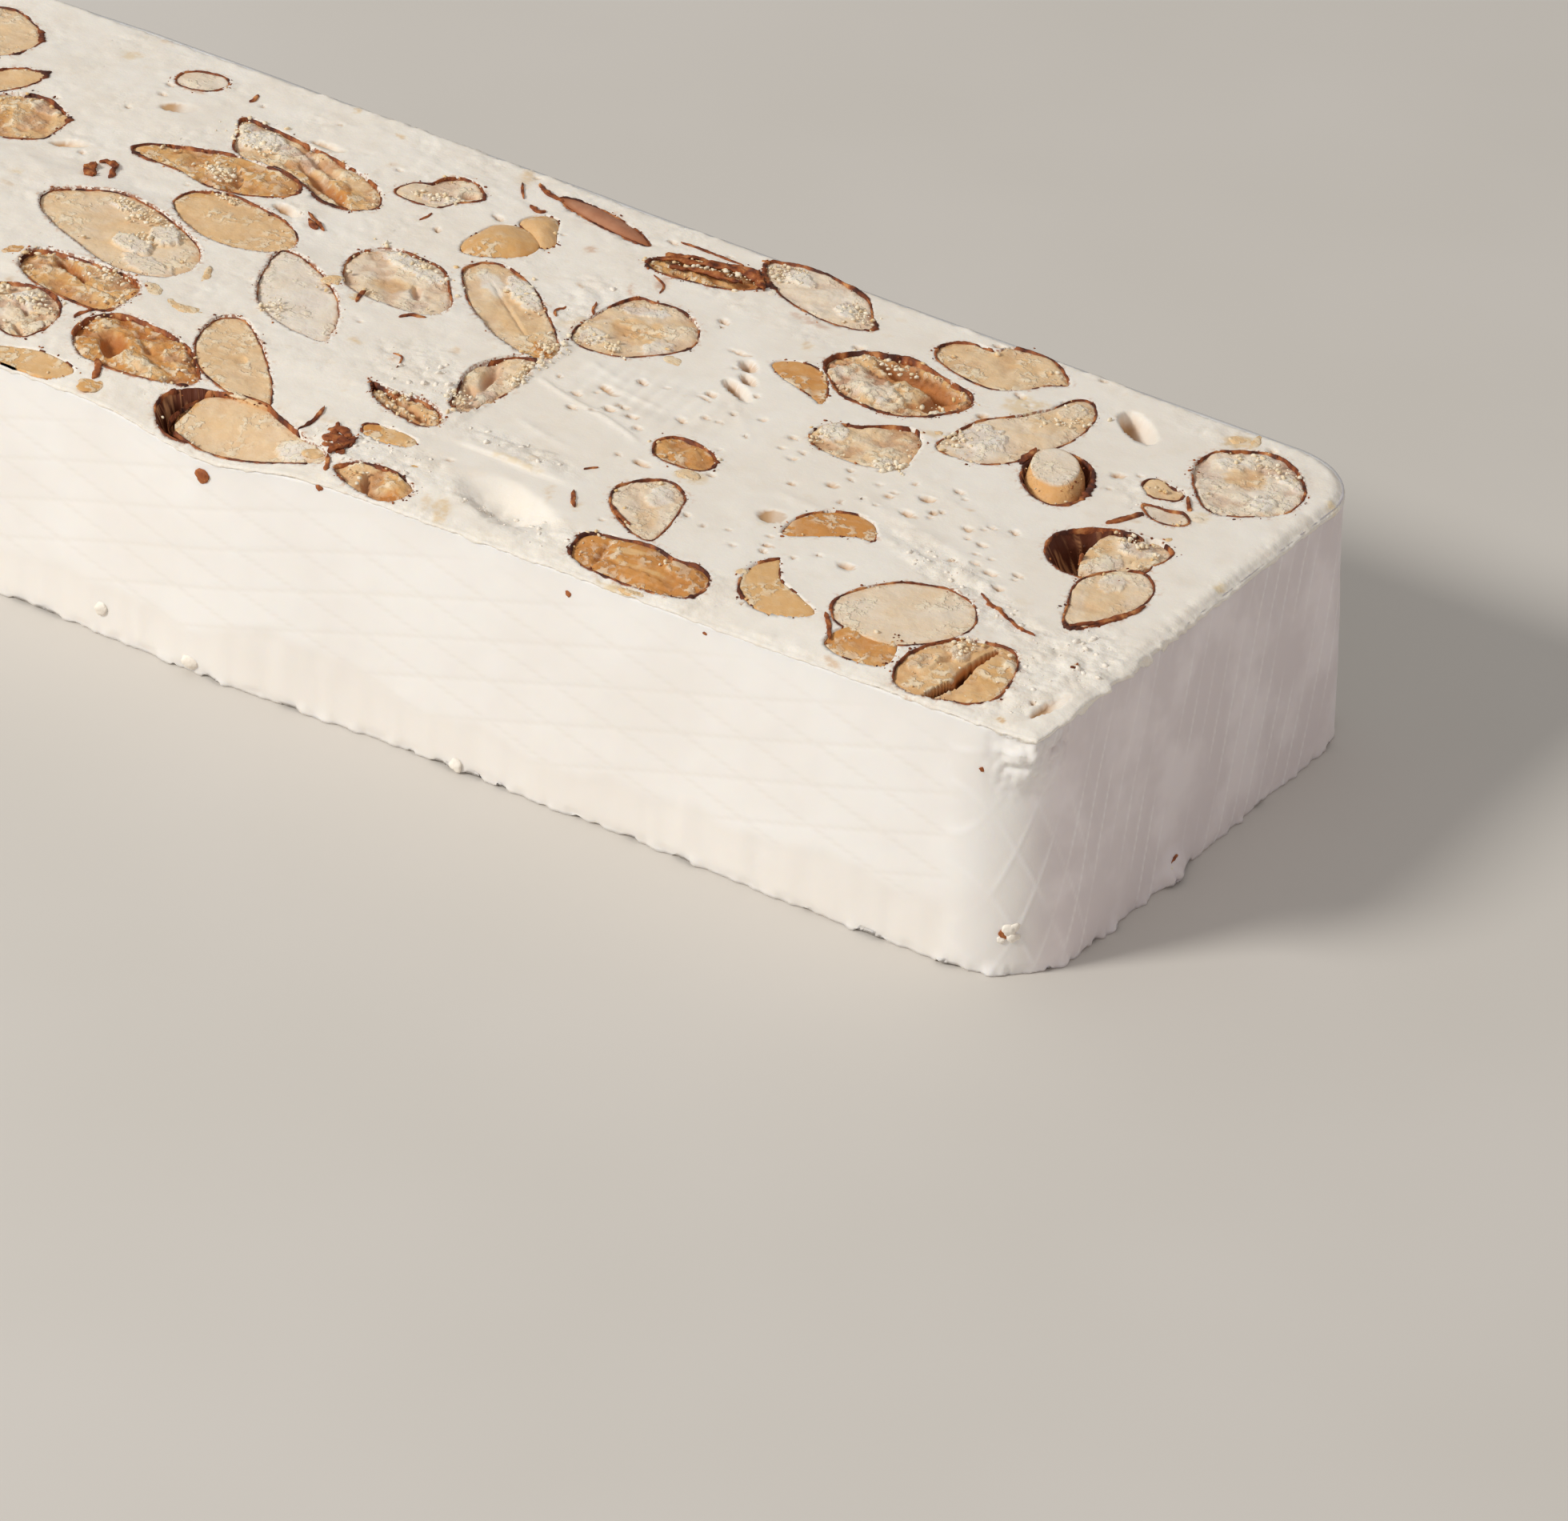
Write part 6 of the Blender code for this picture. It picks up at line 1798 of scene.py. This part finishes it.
on_torn = torn_spots(520, 3)
on_nuts = rim_spots(620, 8, (-0.9, 0.8), lambda nut: 0.06 + nut.torn)
on_rims = rim_spots(1300, 6, (0.15, 0.35), lambda nut: 0.2 + 0.6 * nut.torn * (nut.skin > 0))
crumb_piece("nougat_crumbs", on_torn, (0.20, 0.85), WHITE_CRUMB, "nougat", sink=0.45, seed=4)
crumb_piece("kernel_crumbs", on_nuts, (0.18, 0.75), PALE_CRUMB, "almond_ivory", sink=0.30, seed=9)
crumb_piece("heaped_crumbs", heap_spots(12), (0.22, 0.75), HEAP_CRUMB, "almond_ivory", sink=0.10, seed=13)
crumb_piece("skin_crumbs", on_rims, (0.12, 0.42), SKIN, "almond_skin", sink=0.35, seed=7)


# the way along the near side and on round the right end, the height, the size, and 1 for a
# flake of skin or 0 for a lump of nougat
SIDE_FLAKES = (
    (-6, 26.6, 1.7, 1), (10.1, 30.2, 0.8, 1), (44, 28.3, 0.7, 1), (97.9, 25.3, 0.6, 1), (102, 5.4, 1.2, 1),
    (102.7, 5.9, 1.4, 0), (103.4, 4.9, 1.2, 0), (101.4, 4.6, 0.8, 0), (103.8, 6.2, 0.9, 0),
    (136.6, 2.9, 1.2, 1), (136, 2.2, 1, 0), (138.2, 2, 0.8, 0), (-8.7, 1.4, 1.6, 0), (-21.9, 3.6, 1.6, 0),
    (28.8, 1, 1.4, 0), (62, 29.6, 0.6, 1),
)


def make_side_flakes(name, kind, finish, slot):
    along, z, size, _ = np.array([flake for flake in SIDE_FLAKES if flake[3] == kind]).T
    x, y = block_points(np.minimum(along, HALF), NEAR_Y + np.maximum(along - HALF, 0.0), z / HEIGHT)
    turn = np.where(along > HALF, 90.0, np.where(along > HALF - 8.0, 40.0, 0.0))
    thin = 0.25 + 0.35 * (1 - kind)
    places = np.column_stack((x + 0.45 * (along > HALF), y, z, size * 1.2, size * thin, size, turn))
    mesh, _ = ball_cluster(places, name, 3)
    if finish == SKIN:
        carry(mesh, burn=0.15)
    return add_piece(name, mesh, finish, slot)


make_side_flakes("side_skins", 1, SKIN, "almond_skin")
make_side_flakes("side_lumps", 0, WHITE_CRUMB, "nougat")
print("crumbs:", len(on_torn) + len(on_nuts) + len(on_rims))

# %% [markdown]
# ## Camera, light and floor
# A long lens looks down on the near corner. A broad soft light stands low at the front left,
# so the long side is brightest, the cut face next, and the right end lies in soft shade.

# %% Camera
CAMERA_PLACE = Vector((0.4002, -0.5405, 0.3818))
CAMERA_TURN, CAMERA_TILT, CAMERA_ROLL = (math.radians(v) for v in (33.18, 31.32, 1.85))
camera_data = bpy.data.cameras.new("camera")
camera_data.lens = 150.0
camera_data.sensor_width = 36.0
camera = in_scene("camera", camera_data)
turned = Matrix.Rotation(CAMERA_TURN, 4, "Z") @ Matrix.Rotation(math.pi / 2 - CAMERA_TILT, 4, "X")
camera.matrix_world = Matrix.Translation(CAMERA_PLACE) @ turned @ Matrix.Rotation(CAMERA_ROLL, 4, "Z")
bpy.context.scene.camera = camera


# %% Lights, surroundings and floor
def soft_light(name, place, size, power, tint):
    data = bpy.data.lights.new(name, "AREA")
    data.shape = "DISK"
    data.size = size
    data.energy = power
    data.color = tint
    lamp = in_scene(name, data)
    facing = (-Vector(place)).to_track_quat("-Z", "Y").to_matrix().to_4x4()
    lamp.matrix_world = Matrix.Translation(place) @ facing


soft_light("key", (-0.75, -1.12, 1.02), 0.45, 19.9, (1.0, 0.975, 0.92))
soft_light("fill", (1.60, -0.20, 0.90), 1.40, 1.5, (1.0, 0.70, 0.60))

world = bpy.data.worlds.new("surroundings")
world.use_nodes = True
background = world.node_tree.nodes["Background"]
background.inputs["Color"].default_value = (1.0, 0.995, 0.98, 1.0)
background.inputs["Strength"].default_value = 0.40
bpy.context.scene.world = world
bpy.context.scene.view_settings.view_transform = "Standard"

floor_finish, floor_draw, floor_shader = new_finish("floor", 0.50, Roughness=0.75)
floor_grain = lumps(floor_draw, 60.0, 2, 0).step(0.2, 0.8)
connect(floor_shader, Base_Color=floor_grain.mix(colour(212, 207, 200), colour(216, 211, 205)))
floor_mesh = bpy.data.meshes.new("floor")
floor_bm = bmesh.new()
bmesh.ops.create_grid(floor_bm, x_segments=2, y_segments=2, size=2.5)
floor_bm.to_mesh(floor_mesh)
floor_bm.free()
floor_mesh.materials.append(floor_finish)
in_scene("floor", floor_mesh)
